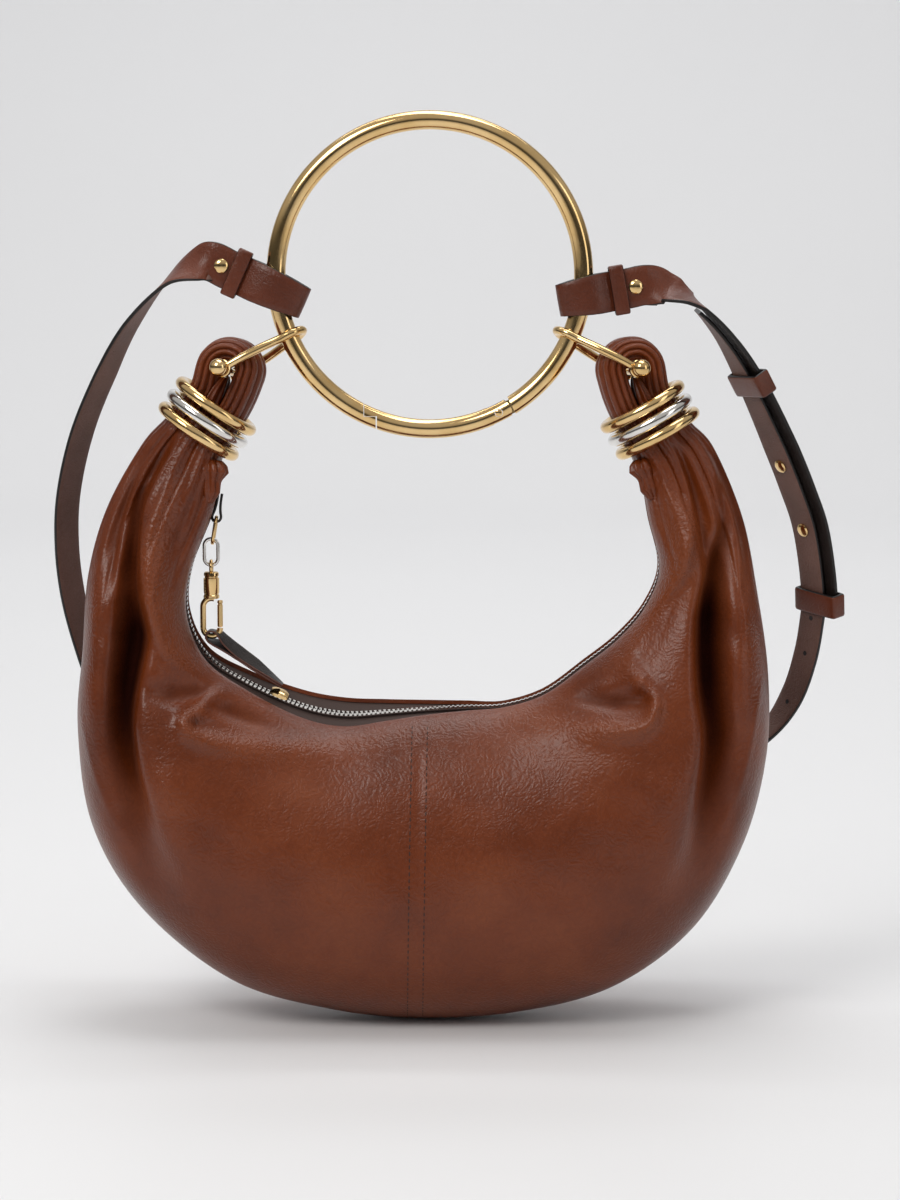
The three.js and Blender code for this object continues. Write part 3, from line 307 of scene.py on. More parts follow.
# Polished metal with faint rubbing marks
def metalMaterial(name, colour, edge, roughness):
    material, tree, shader = newMaterial(name, Metallic=1.0)
    place = addNode(tree, "ShaderNodeTexCoord").outputs["Object"]
    cloud = addNode(tree, "ShaderNodeTexNoise", {"Vector": place, "Scale": 60.0, "Detail": 4.0})
    rub = addNode(tree, "ShaderNodeTexNoise", {"Vector": place, "Scale": 900.0, "Detail": 3.0})
    tint = rampNode(tree, cloud.outputs["Fac"], [(0.25, edge), (0.6, colour)])
    tree.links.new(tint.outputs[0], shader.inputs["Base Color"])
    rough = addNode(tree, "ShaderNodeMapRange", {"Value": rub.outputs["Fac"], "From Min": 0.3, "From Max": 0.75,
                                                 "To Min": roughness, "To Max": roughness + 0.07})
    tree.links.new(rough.outputs[0], shader.inputs["Roughness"])
    bump = addNode(tree, "ShaderNodeBump", {"Height": cloud.outputs["Fac"], "Strength": 0.03, "Distance": 0.0004})
    tree.links.new(bump.outputs[0], shader.inputs["Normal"])
    return material


# Woven or edge-painted cloth and thread
def threadMaterial(name, colour, scale, roughness):
    material, tree, shader = newMaterial(name)
    place = addNode(tree, "ShaderNodeTexCoord").outputs["Object"]
    wave = addNode(tree, "ShaderNodeTexWave", {"Vector": place, "Scale": scale, "Distortion": 1.5})
    tint = rampNode(tree, wave.outputs["Fac"], [(0.0, tuple(c * 0.6 for c in colour)), (1.0, colour)])
    tree.links.new(tint.outputs[0], shader.inputs["Base Color"])
    shader.inputs["Roughness"].default_value = roughness
    bump = addNode(tree, "ShaderNodeBump", {"Height": wave.outputs["Fac"], "Strength": 0.35, "Distance": 0.0002})
    tree.links.new(bump.outputs[0], shader.inputs["Normal"])
    return material


finishes = {
    "bodyLeather": leatherMaterial("bodyLeather", (0.105, 0.019, 0.003), (0.155, 0.030, 0.005),
                                   (0.200, 0.046, 0.011), 1.5, 0.50, 0.34, coat=0.06, foldShadeAndHighlight=True),
    "strapLeather": leatherMaterial("strapLeather", (0.080, 0.018, 0.007), (0.128, 0.029, 0.011),
                                    (0.165, 0.043, 0.018), 1.0, 0.24, 0.36, coat=0.08),
    "strapBack": leatherMaterial("strapBack", (0.100, 0.052, 0.040), (0.165, 0.088, 0.070),
                                 (0.210, 0.120, 0.098), 0.8, 0.42, 0.55, coat=0.0),
    "darkBack": leatherMaterial("darkBack", (0.006, 0.004, 0.004), (0.012, 0.008, 0.007),
                                (0.022, 0.016, 0.014), 0.8, 0.30, 0.42, coat=0.05),
    "facing": leatherMaterial("facing", (0.070, 0.026, 0.018), (0.125, 0.050, 0.036),
                              (0.165, 0.072, 0.052), 0.9, 0.25, 0.5, coat=0.0),
    "edgePaint": leatherMaterial("edgePaint", (0.004, 0.003, 0.003), (0.008, 0.006, 0.006),
                                 (0.016, 0.012, 0.011), 0.6, 0.15, 0.34, coat=0.1),
    "gold": metalMaterial("gold", (0.80, 0.57, 0.28), (0.66, 0.43, 0.17), 0.09),
    "silver": metalMaterial("silver", (0.82, 0.80, 0.77), (0.66, 0.64, 0.61), 0.10),
    "steel": metalMaterial("steel", (0.76, 0.73, 0.68), (0.50, 0.47, 0.43), 0.22),
    "stitch": threadMaterial("stitch", (0.050, 0.016, 0.009), 1400.0, 0.6),
    "lightStitch": threadMaterial("lightStitch", (0.20, 0.085, 0.05), 1400.0, 0.6),
    "zipCloth": threadMaterial("zipCloth", (0.055, 0.030, 0.024), 900.0, 0.8),
}
print("materials made:", len(finishes))

# The two necks
neckTable = [
    {"name": "left", "side": -1, "reach": 0.618, "height": 0.963, "lean": 35, "turn": 14},
    {"name": "right", "side": 1, "reach": 0.645, "height": 0.961, "lean": 30, "turn": 12},
]


def neckFrame(row):
    lean = math.radians(row["lean"])
    turn = math.radians(row["turn"])
    side = row["side"]
    up = vec(-side * math.sin(lean), 0, math.cos(lean))
    inward = vec(-side * math.cos(lean), 0, -math.sin(lean))
    return {
        **row,
        "centre": vec(bag["centreX"] + side * row["reach"] * bagHalf, 0, row["height"] * bag["height"]),
        "up": up,
        "inward": inward,
        "across": inward * math.cos(turn) + vec(0, -math.sin(turn), 0),
        "pinWay": inward * math.sin(turn) + vec(0, math.cos(turn), 0),
    }


necks = [neckFrame(row) for row in neckTable]

# The gathered leather shell. Section rows: edge x, edge z, base x, base z, depth, gap, rise, pleat,
# as shares of the half width, height, depth and mouth gap
shell = {
    "stations": 250,
    "laps": 180,
    "pleatCount": 9,
    "pleatDepth": 3.2,
    "sections": [
        (-0.583, 0.868, -0.806, 0.922, 0.37, 0.20, 0.000, 1.00),
        (-0.605, 0.813, -0.908, 0.821, 0.44, 0.45, 0.000, 0.80),
        (-0.668, 0.722, -0.963, 0.714, 0.55, 0.70, 0.002, 0.50),
        (-0.676, 0.650, -0.980, 0.598, 0.69, 0.85, 0.006, 0.30),
        (-0.622, 0.582, -0.997, 0.471, 0.82, 0.95, 0.012, 0.15),
        (-0.507, 0.535, -0.957, 0.313, 0.92, 1.00, 0.022, 0.05),
        (-0.355, 0.492, -0.814, 0.178, 0.98, 1.00, 0.034, 0.00),
        (-0.232, 0.477, -0.556, 0.062, 1.00, 1.00, 0.036, 0.00),
        (-0.106, 0.486, -0.269, 0.014, 1.00, 1.00, 0.024, 0.00),
        (0.000, 0.495, -0.010, 0.000, 1.00, 1.00, 0.014, 0.00),
        (0.117, 0.502, 0.275, 0.010, 1.00, 1.00, 0.006, 0.00),
        (0.232, 0.508, 0.547, 0.051, 1.00, 1.00, 0.000, 0.00),
        (0.347, 0.529, 0.777, 0.146, 0.98, 1.00, 0.000, 0.00),
        (0.461, 0.575, 0.920, 0.281, 0.92, 1.00, 0.000, 0.05),
        (0.556, 0.617, 0.986, 0.424, 0.82, 0.95, 0.000, 0.15),
        (0.633, 0.668, 0.989, 0.559, 0.69, 0.85, 0.000, 0.30),
        (0.672, 0.729, 0.954, 0.694, 0.55, 0.70, 0.000, 0.50),
        (0.642, 0.805, 0.911, 0.808, 0.44, 0.45, 0.000, 0.80),
        (0.622, 0.862, 0.828, 0.917, 0.37, 0.20, 0.000, 1.00),
    ],
    # Folds by name; each row is x, height, half width and push outwards in millimetres
    "steepSides": {
        "leftDeepValley": (1, 0), "rightDeepValley": (-1, 0), "leftThinValleyOuter": (1, 0),
        "leftThinValleyInner": (1, 0), "rightThinValleyInner": (-1, 0), "rightThinValleyOuter": (-1, 0),
        "leftCrest": (-1, 0), "rightCrest": (1, 0), "leftBendCrest": (0, 1), "rightBendCrest": (0, 1),
        "leftMouthHollow": (0, -1), "rightMouthHollow": (0, -1), "leftUpperHollow": (0, -1),
    },
    "folds": {
        "leftDeepValley": [(-143, 268, 3, -3), (-146, 243, 4, -7), (-147, 217, 6, -14), (-145, 197, 9, -21),
                           (-149, 173, 8, -21), (-150, 153, 7, -18), (-147, 130, 8, -13), (-139, 100, 10, -6),
                           (-126, 70, 12, 0)],
        "leftThinValleyOuter": [(-131, 297, 2.5, -4), (-144, 280, 3, -7), (-152, 260, 3.5, -8), (-157, 239, 4, -7),
                                (-159, 214, 5, 0)],
        "leftThinValleyInner": [(-126, 294, 2.5, -4), (-137, 276, 3, -7), (-145, 255, 3.5, -7), (-147, 232, 4, -4), (-148, 220, 4, 0)],
        "leftCrest": [(-126, 272, 5, 2), (-136, 250, 6, 6), (-138, 230, 7, 8), (-133, 206, 7, 8), (-126, 190, 6, 7),
                      (-116, 182, 6, 3)],
        "leftEdgeHollow": [(-119, 262, 4, -1.5), (-124, 240, 5, -3), (-124, 222, 5, -3), (-117, 203, 5, -2),
                           (-108, 190, 4, 0)],
        "leftUpperHollow": [(-136, 171, 5, -4), (-126, 169, 6, -9), (-115, 170, 5, -9), (-106, 173, 4, -4)],
        "leftBendCrest": [(-104, 170, 3.5, 4), (-112, 164, 3.5, 6), (-120, 159, 3.5, 7), (-117, 153, 3.5, 7),
                          (-107, 149, 4, 7), (-95, 146, 4.5, 6.5), (-80, 144, 5, 6), (-62, 143, 5.5, 5),
                          (-35, 145, 6, 3.5), (0, 149, 6, 2), (30, 151, 6, 0)],
        "leftMouthHollow": [(-106, 163, 4, -7), (-98, 160, 5, -10), (-88, 156, 5, -9), (-74, 152, 5, -5),
                            (-55, 150, 5, 0)],
        "leftOuterLine": [(-178, 186, 1.5, 0.9), (-175, 165, 1.6, 1.3), (-170, 143, 1.6, 1.4),
                          (-165, 127, 1.8, 1.2), (-154, 104, 2, 0.8), (-142, 85, 2, 0)],
        "leftOuterBulge": [(-162, 232, 7, 1), (-164, 205, 8, 3.5), (-163, 180, 9, 3), (-160, 150, 9, 0)],
        "leftGrainFold": [(-160, 214, 3, 0), (-162, 204, 3.5, -1.5), (-161, 192, 4, 0)],
        "leftLowFold": [(-128, 128, 9, 2), (-122, 96, 11, 2.5), (-110, 66, 12, 0)],
        "leftLowValley": [(-150, 108, 6, -2), (-137, 80, 8, -3), (-118, 56, 10, 0)],
        "rightDeepValley": [(143, 285, 3, -3), (146, 258, 4, -6), (141, 231, 6, -13), (137, 207, 8, -20),
                            (137, 174, 8, -20), (140, 148, 8, -17), (137, 120, 9, -12), (130, 90, 10, -5),
                            (119, 65, 12, 0)],
        "rightThinValleyInner": [(122, 292, 2.5, -4), (130, 270, 3, -7), (136, 241, 3.5, -7), (137, 225, 4, 0)],
        "rightThinValleyOuter": [(133, 297, 2.5, -4), (147, 275, 3, -7), (155, 250, 3.5, -8), (158, 230, 4, -5),
                                 (156, 212, 5, 0)],
        "rightCrest": [(115, 270, 4, 2), (127, 254, 6, 6), (124, 234, 6.5, 8), (113, 216, 6.5, 7),
                       (103, 200, 6, 5), (98, 186, 5, 4), (103, 177, 4, 4)],
        "rightEdgeHollow": [(113, 252, 4, -1.5), (110, 238, 5, -2.5), (100, 220, 5, -2), (90, 205, 5, 0)],
        "rightBendCrest": [(104, 177, 3.5, 4), (110, 169, 3.5, 7), (107, 158, 3.5, 7), (92, 154, 4.5, 6),
                           (66, 154, 5.5, 3), (36, 152, 6, 0)],
        "rightMouthHollow": [(104, 167, 4.5, -7), (92, 165, 5, -10), (78, 166, 5, -8), (64, 168, 5, -3),
                             (48, 167, 5, 0)],
        "rightOuterBulge": [(158, 232, 7, 1), (155, 205, 8, 3.5), (157, 180, 9, 3), (156, 150, 9, 0)],
        "rightGrainFold": [(152, 210, 3, 0), (151, 198, 3.5, -1.8), (152, 186, 4, 0)],
        "rightOuterLine": [(167, 182, 1.5, 0.8), (163, 165, 1.6, 1.3), (159, 145, 1.6, 1.4), (155, 127, 1.8, 1.2),
                           (146, 106, 2, 0.8), (134, 87, 2, 0)],
        "rightLowFold": [(121, 128, 9, 2), (115, 96, 11, 2.5), (103, 68, 12, 0)],
        "rightLowValley": [(148, 112, 6, -2), (136, 84, 8, -3), (117, 58, 10, 0)],
        "centreSeam": [(-5, 153, 0.9, -1.0), (-5.6, 110, 0.9, -1.0), (-6.6, 60, 0.9, -1.0), (-7.5, 4, 0.9, -1.0)],
    },
}


def neckRow(neck, place):
    centre = neck["centre"] + neck["up"] * place
    edge = centre + neck["inward"] * neckRadius
    base = centre - neck["inward"] * neckRadius
    return (edge[0], edge[2], base[0], base[2], bag["neckDiameter"], 0.6, 0, 1)


def shellRows():
    tubePlaces = [-seatGap / 2, -1.45 * bag["collarPitch"]]
    rows = [neckRow(necks[0], place) for place in tubePlaces]
    for ex, ez, bx, bz, depth, gap, rise, pleat in shell["sections"]:
        rows.append((bag["centreX"] + ex * bagHalf, ez * bag["height"], bag["centreX"] + bx * bagHalf,
                     bz * bag["height"], depth * bag["depth"], gap * bag["mouthGap"], rise * bag["height"], pleat))
    rows += [neckRow(necks[1], place) for place in reversed(tubePlaces)]
    return np.array(rows)


rowTable = shellRows()


def smoothRows(shares):
    row = np.asarray(shares, dtype=float) * (len(rowTable) - 1)
    k = np.minimum(row.astype(int), len(rowTable) - 2)
    t = (row - k)[..., None]
    last = len(rowTable) - 1
    a, b, c, d = [rowTable[np.clip(k + step, 0, last)] for step in (-1, 0, 1, 2)]
    out = b + 0.5 * t * (c - a + t * (2 * a - 5 * b + 4 * c - d + t * (3 * (b - c) + d - a)))
    out[..., 5] = np.maximum(out[..., 5], 0.6)
    out[..., 6] = np.maximum(out[..., 6], 0)
    out[..., 7] = np.clip(out[..., 7], 0, 1)
    return out


# The folds' push at each place of the front view, and their sum, later turned into a share for the painted shade in
# fold hollows and painted highlight on crests
def foldPush(x, z):
    total = np.zeros_like(x)
    for name, rows in shell["folds"].items():
        rows = np.array(rows, dtype=float)
        steep = shell["steepSides"].get(name, (0, 0))
        places = curvePoints([vec(r[0], r[1], 0) for r in rows], 6 * (len(rows) - 1) + 1)[:, :2]
        steps = np.linspace(0, len(rows) - 1, len(places))
        widths = np.interp(steps, range(len(rows)), rows[:, 2])
        pushes = np.interp(steps, range(len(rows)), rows[:, 3])
        reach = 3 * rows[:, 2].max()
        near = ((x > places[:, 0].min() - reach) & (x < places[:, 0].max() + reach)
                & (z > places[:, 1].min() - reach) & (z < places[:, 1].max() + reach))
        if not near.any():
            continue
        px, pz = x[near], z[near]
        best = np.full(px.shape, 1e9)
        width = np.ones(px.shape)
        push = np.zeros(px.shape)
        lead = np.zeros(px.shape)
        for i in range(len(places) - 1):
            way = places[i + 1] - places[i]
            t = np.clip(((px - places[i][0]) * way[0] + (pz - places[i][1]) * way[1]) / way.dot(way), 0, 1)
            offX = px - places[i][0] - t * way[0]
            offZ = pz - places[i][1] - t * way[1]
            away = np.hypot(offX, offZ)
            closer = away < best
            best = np.where(closer, away, best)
            width = np.where(closer, widths[i] + t * (widths[i + 1] - widths[i]), width)
            push = np.where(closer, pushes[i] + t * (pushes[i + 1] - pushes[i]), push)
            lead = np.where(closer, offX * steep[0] + offZ * steep[1], lead)
        width = width * (1 - 0.42 * np.tanh(1.5 * lead / width))
        total[near] += push * np.exp(-(best / width) ** 2)
    return total


# Soft dents that leather of this weight takes between its folds
def softDents(x, z):
    return (0.55 * np.sin(x * 0.061 + 1.3 * np.sin(z * 0.043)) * np.sin(z * 0.072 + 0.9)
            + 0.30 * np.sin(x * 0.143 + z * 0.081 + 0.7) * np.sin(z * 0.151 - x * 0.037))


def shellPlaces(shares, laps):
    row = smoothRows(shares)[:, None, :]
    lap = np.asarray(laps)[None, :]
    front = lap <= 1
    turn = math.pi * np.where(front, lap, 2 - lap)
    fullness = np.clip((row[..., 4] / bag["depth"] - 0.38) / 0.6, 0, 1)
    down = ((1 - np.cos(turn)) / 2) ** (1 + (0.78 - 1) * fullness)
    edgeZ = row[..., 1] + np.where(front, 0, 1) * row[..., 6]
    x = row[..., 0] + down * (row[..., 2] - row[..., 0])
    z = edgeZ + down * (row[..., 3] - edgeZ)
    flute = np.abs(np.sin(shell["pleatCount"] * turn / 2)) ** 0.7
    gather = row[..., 7] * shell["pleatDepth"] * (1 - flute)
    gather = gather + row[..., 7] ** 2 * 0.5 * (1 - np.cos(23 * turn + 0.6))
    swell = (row[..., 4] / 2 - gather) * np.sin(turn)
    share = np.asarray(shares)[:, None] + 0 * lap
    inNeck = smoothStep((np.minimum(share, 1 - share) - 0.045) / 0.05)
    fold = foldPush(x, z) * inNeck
    dents = softDents(x, z) * inNeck * smoothStep(down * 6)
    keep = np.sin(turn)
    half = (row[..., 5] / 2) * (1 - down) ** 1.5 + swell + (fold + dents) * keep * np.where(front, 1, 0.7)
    return np.stack([x, np.where(front, -half, half), z], axis=-1), fold * np.where(front, 1, 0.7)


def surfaceNormals(grid):
    along = np.gradient(grid, axis=0)
    around = np.gradient(grid, axis=1)
    normal = np.cross(along, around)
    normal /= np.maximum(np.linalg.norm(normal, axis=2), 1e-9)[..., None]
    middle = normal[len(grid) // 2, len(grid[0]) // 4]
    return normal if middle[1] < 0 else -normal


def leatherShell():
    shares = np.linspace(0, 1, shell["stations"] + 1)
    laps = np.linspace(0, 2, shell["laps"] + 1)
    grid, fold = shellPlaces(shares, laps)
    inner = grid - surfaceNormals(grid) * bag["wall"]
    rings = np.concatenate([grid, inner[:, ::-1]], axis=1)
    count, sides = rings.shape[:2]
    faces = ringFaces(count, sides)[:-2]
    half = sides // 2
    for start in (0, (count - 1) * sides):
        for j in range(half - 1):
            faces.append((start + j, start + j + 1, start + sides - 2 - j, start + sides - 1 - j))
    strips = np.zeros(len(faces), dtype=int)
    index = np.arange((count - 1) * sides) % sides
    strips[:(count - 1) * sides] = np.where((index >= half) & (index < sides - 1), 1, 0)
    piece = newPiece("gatheredShell", rings, faces, [finishes["bodyLeather"], finishes["facing"]], strips, 70)
    # Painted shade and highlight per point: from the fold push, deep hollows darker and crests lighter
    foldShadeAndHighlight = np.concatenate([fold, fold[:, ::-1]], axis=1).ravel()
    layer = piece.data.attributes.new("foldShadeAndHighlight", "FLOAT", "POINT")
    layer.data.foreach_set("value", np.clip(0.5 + foldShadeAndHighlight / 14, -1, 1).astype(np.float32))
    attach(piece, "bag")
    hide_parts("bag_body")
    return piece


gatheredShell = leatherShell()
shellTree = BVHTree.FromPolygons([v.co for v in gatheredShell.data.vertices],
                                 [p.vertices for p in gatheredShell.data.polygons])
print("shell made:", len(gatheredShell.data.polygons), "faces")


# Where a line from the front meets the shell, in millimetres, a little above its skin
def onFront(x, height, lift=0.15):
    start = Vector((x / 1000, -0.3, (height - hangHeight) / 1000))
    place, normal, _, _ = shellTree.ray_cast(start, Vector((0, 1, 0)))
    if place is None:
        return None
    place = place + normal * (lift / 1000) * (-1 if normal.y > 0 else 1)
    return vec(*(place * 1000)) + vec(0, 0, hangHeight)


# Stitches and teeth repeated along a route by Geometry Nodes
def repeatTree(name, shape, material, alignAcross):
    tree = bpy.data.node_groups.new(name, "GeometryNodeTree")
    tree.interface.new_socket("Geometry", in_out="INPUT", socket_type="NodeSocketGeometry")
    for label in ("Spacing", "Length", "Width", "Height"):
        tree.interface.new_socket(label, in_out="INPUT", socket_type="NodeSocketFloat")
    tree.interface.new_socket("Geometry", in_out="OUTPUT", socket_type="NodeSocketGeometry")
    source = addNode(tree, "NodeGroupInput")
    curve = addNode(tree, "GeometryNodeMeshToCurve", {"Mesh": source.outputs["Geometry"]})
    spots = addNode(tree, "GeometryNodeCurveToPoints", {"Curve": curve.outputs[0]}, mode="LENGTH")
    tree.links.new(source.outputs["Spacing"], spots.inputs["Length"])
    turned = addNode(tree, "FunctionNodeAlignRotationToVector", {"Vector": spots.outputs["Tangent"]}, axis="Z")
    rotation = turned.outputs[0]
    if alignAcross:
        rotation = addNode(tree, "FunctionNodeAlignRotationToVector",
                           {"Rotation": rotation, "Vector": (0, 1, 0)}, axis="X", pivot_axis="Z").outputs[0]
    size = addNode(tree, "ShaderNodeCombineXYZ", {"X": source.outputs["Width"], "Y": source.outputs["Height"],
                                                  "Z": source.outputs["Length"]})
    if shape == "box":
        form = addNode(tree, "GeometryNodeMeshCube", {"Size": (1, 1, 1)})
    else:
        form = addNode(tree, "GeometryNodeMeshIcoSphere", {"Radius": 0.5, "Subdivisions": 2})
    copies = addNode(tree, "GeometryNodeInstanceOnPoints", {"Points": spots.outputs["Points"],
                                                            "Instance": form.outputs["Mesh"],
                                                            "Rotation": rotation, "Scale": size.outputs[0]})
    real = addNode(tree, "GeometryNodeRealizeInstances", {"Geometry": copies.outputs[0]})
    coloured = addNode(tree, "GeometryNodeSetMaterial", {"Geometry": real.outputs[0], "Material": material})
    target = addNode(tree, "NodeGroupOutput")
    tree.links.new(coloured.outputs[0], target.inputs["Geometry"])
    return tree


def repeatAlong(name, routes, tree, values):
    points = []
    edges = []
    for route in routes:
        first = len(points)
        points += [tuple((p - vec(0, 0, hangHeight)) / 1000) for p in route]
        edges += [(i, i + 1) for i in range(first, len(points) - 1)]
    mesh = bpy.data.meshes.new(name)
    mesh.from_pydata(points, edges, [])
    guide = bpy.data.objects.new(name + "Guide", mesh)
    bpy.context.scene.collection.objects.link(guide)
    modifier = guide.modifiers.new("repeat", "NODES")
    modifier.node_group = tree
    sockets = {item.name: item.identifier for item in tree.interface.items_tree if item.in_out == "INPUT"}
    for label, value in values.items():
        modifier[sockets[label]] = value / 1000
    made = bpy.data.meshes.new_from_object(guide.evaluated_get(bpy.context.evaluated_depsgraph_get()))
    guide.modifiers.remove(modifier)
    bpy.data.objects.remove(guide)
    made.name = name
    piece = bpy.data.objects.new(name, made)
    bpy.context.scene.collection.objects.link(piece)
    return piece


stitchTree = repeatTree("stitchRepeat", "round", finishes["stitch"], False)
teethTree = repeatTree("toothRepeat", "box", finishes["silver"], True)

# Seam down the middle of the front: two rows of stitches
seam = {"topX": -5.0, "lowX": -7.5, "top": 151, "low": 5, "away": 3.8,
        "stitch": {"Spacing": 3.3, "Length": 2.3, "Width": 0.62, "Height": 0.5}}


def centreStitches():
    routes = []
    for side in (-1, 1):
        route = []
        for t in np.linspace(0, 1, 90):
            x = seam["topX"] + t * (seam["lowX"] - seam["topX"]) + side * seam["away"]
            place = onFront(x, seam["top"] + t * (seam["low"] - seam["top"]), 0.02)
            if place is not None:
                route.append(place)
        routes.append(route)
    piece = repeatAlong("seamStitches", routes, stitchTree, seam["stitch"])
    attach(piece, "bag")


centreStitches()

# The gathered end of the mouth's hem under each set of collars
ruffle = {
    "left": {"top": (-108.5, -8, 283), "low": (-110.5, -11, 262), "out": (0.78, -0.35, 0.2)},
    "right": {"top": (106.5, -8, 284), "low": (111.5, -11, 264), "out": (-0.78, -0.35, 0.2)},
    "flutes": 9, "flute": 1.5, "radii": [(0, 5.6), (0.10, 7.8), (0.26, 8.8), (0.42, 6.4), (0.5, 5.8), (0.75, 6.0), (1, 3.0)],
    "flat": 0.75,
}


def neckRuffles():
    for side in ("left", "right"):
        place = ruffle[side]
        top, low = vec(*place["top"]), vec(*place["low"])
        axis = unit(low - top)
        wide = unit(vec(*place["out"]) - axis * np.dot(vec(*place["out"]), axis))
        deep = np.cross(axis, wide)
        turns = np.linspace(0, 2 * math.pi, 97)[:-1]
        rings = []
        for t in np.linspace(0, 1, 28):
            radius = np.interp(t, *zip(*ruffle["radii"]))
            wave = 1 + (0.36 - 0.22 * t) * (np.abs(np.sin(ruffle["flutes"] * turns / 2 + 2.2 * t)) - 0.6)
            centre = top + (low - top) * t
            rings.append(centre + np.outer(radius * wave * np.cos(turns), wide)
                         + np.outer(radius * ruffle["flat"] * wave * np.sin(turns), deep))
        inner = [ring + (ring.mean(0) - ring) * (0.30 + 0.25 * i) - axis * (0.4 - 2.4 * i)
                 for i, ring in enumerate([rings[0], rings[0], rings[0]])]
        rings = inner[::-1] + rings
        piece = newPiece(f"hemRuffle_{side}", rings, ringFaces(len(rings), 96), [finishes["bodyLeather"]])
        # A near-neutral level for the painted fold shade and highlight
        layer = piece.data.attributes.new("foldShadeAndHighlight", "FLOAT", "POINT")
        layer.data.foreach_set("value", np.full(len(piece.data.vertices), 0.48, dtype=np.float32))
        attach(piece, "bag")


neckRuffles()
print("seam and ruffles made")

# The folded neck loops above the collars
loop = {
    "pinDiameter": 3.6, "bundle": 14.8, "depth": 28.0, "steps": 120, "sides": 144, "flutes": 12, "flute": 0.17,
    "shift": -0.22, "rise": 1.5,
}
loopBend = loop["bundle"] / 2 + loop["pinDiameter"] / 2 + 3 * seatGap + 0.2
loopShift = loop["shift"] * neckRadius
loopRise = loop["rise"] * neckRadius


def neckLoop(neck):
    legs = neckRadius / 2 + 0.2
    path = [(legs, seatGap / 2, 0.88), (legs + 0.4, 0.45 * loopRise, 0.96), (loopShift + loopBend, loopRise, 1),
            (loopShift + 0.71 * loopBend, loopRise + 0.71 * loopBend, 1), (loopShift, loopRise + loopBend, 1),
            (loopShift - 0.71 * loopBend, loopRise + 0.71 * loopBend, 1), (loopShift - loopBend, loopRise, 1),
            (-legs - 0.9, 0.45 * loopRise, 0.96), (-legs, seatGap / 2, 0.88)]
    spine = curvePoints([vec(a, b, 0) for a, b, _ in path], loop["steps"] + 1)
    widths = np.interp(np.linspace(0, len(path) - 1, len(spine)), range(len(path)), [row[2] for row in path])
    along = np.gradient(spine, axis=0)
    along /= np.linalg.norm(along, axis=1)[:, None]
    along[0], along[-1] = (0, 1, 0), (0, -1, 0)
    turns = np.arange(loop["sides"]) / loop["sides"] * 2 * math.pi
    flute = 1 - loop["flute"] * (1 - np.abs(np.sin(loop["flutes"] * turns / 2)) ** 0.6)
    rings = []
    for i, place in enumerate(spine):
        normal = vec(-along[i][1], along[i][0], 0)
        wobble = 1 - 0.03 * (1 + np.sin(3 * turns + 5 * i / len(spine)))
        wide = loop["bundle"] / 2 * flute * wobble * np.cos(turns)
        deep = widths[i] * loop["depth"] / 2 * flute * wobble * np.sin(turns)
        a = place[0] + normal[0] * wide
        b = place[1] + normal[1] * wide
        rings.append(neck["centre"] + np.outer(a, neck["across"]) + np.outer(b, neck["up"])
                     + np.outer(deep, neck["pinWay"]))
    piece = newPiece(f"pleatedLoop_{neck['name']}", rings, ringFaces(len(rings), loop["sides"]),
                     [finishes["bodyLeather"]])
    layer = piece.data.attributes.new("foldShadeAndHighlight", "FLOAT", "POINT")
    # Painted highlight: a faint lighter tone on the flute crests
    foldLightLevel = 0.5 + 1.4 * (flute - 1 + loop["flute"] * 0.35)
    layer.data.foreach_set("value", np.tile(np.clip(foldLightLevel, 0, 1), len(rings)).astype(np.float32))
    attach(piece, "bag")
    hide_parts(f"neck_loop_{neck['name']}")


# Gathered leather that fills the loop below the shackle's pin
def loopFilling(neck):
    top = loopRise - loop["pinDiameter"] / 2 - 1.0
    rings = []
    turns = np.arange(48) / 48 * 2 * math.pi
    for t in np.linspace(0, 1, 14):
        shape = math.sin(math.pi * (0.12 + 0.86 * t) ** 0.8) ** 0.5
        centre = neck["centre"] + neck["across"] * loopShift * t + neck["up"] * (seatGap + t * top)
        wave = 1 + 0.14 * np.sin(8 * turns)
        rings.append(centre + np.outer(3.9 * shape * np.cos(turns) * wave, neck["across"])
                     + np.outer(loop["depth"] * 0.36 * shape * np.sin(turns) * wave, neck["pinWay"]))
    piece = newPiece(f"loopFilling_{neck['name']}", rings, ringFaces(len(rings), 48), [finishes["bodyLeather"]])
    layer = piece.data.attributes.new("foldShadeAndHighlight", "FLOAT", "POINT")
    layer.data.foreach_set("value", np.full(len(piece.data.vertices), 0.2, dtype=np.float32))
    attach(piece, "bag")


def collarRings(neck):
    radius = neckRadius + 1.5 * seatGap + bag["collarWire"] / 2
    for label, place, finish in (("upper", 1, "gold"), ("middle", 0, "silver"), ("lower", -1, "gold")):
        centre = neck["centre"] + neck["up"] * place * bag["collarPitch"]
        points = circlePoints(centre, neck["up"], radius, 128)
        piece = tubePiece(f"neckRing_{neck['name']}_{label}", points, bag["collarWire"] / 2, finishes[finish], 28, True)
        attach(piece, "bag")
        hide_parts(f"collar_{neck['name']}_{label}")


# Shackles: a bow with drilled lugs, and a pin with a ball at each end
shackleSizes = {"wire": 3.6, "bowWire": 4.3, "pin": 3.6, "ball": 9.0, "ringAngle": 66, "lug": 2.4}


def ringPoint(degrees, radius=bag["ringRadius"]):
    turn = math.radians(degrees)
    return vec(radius * math.sin(turn), 0, bag["ringCentreHeight"] - radius * math.cos(turn))


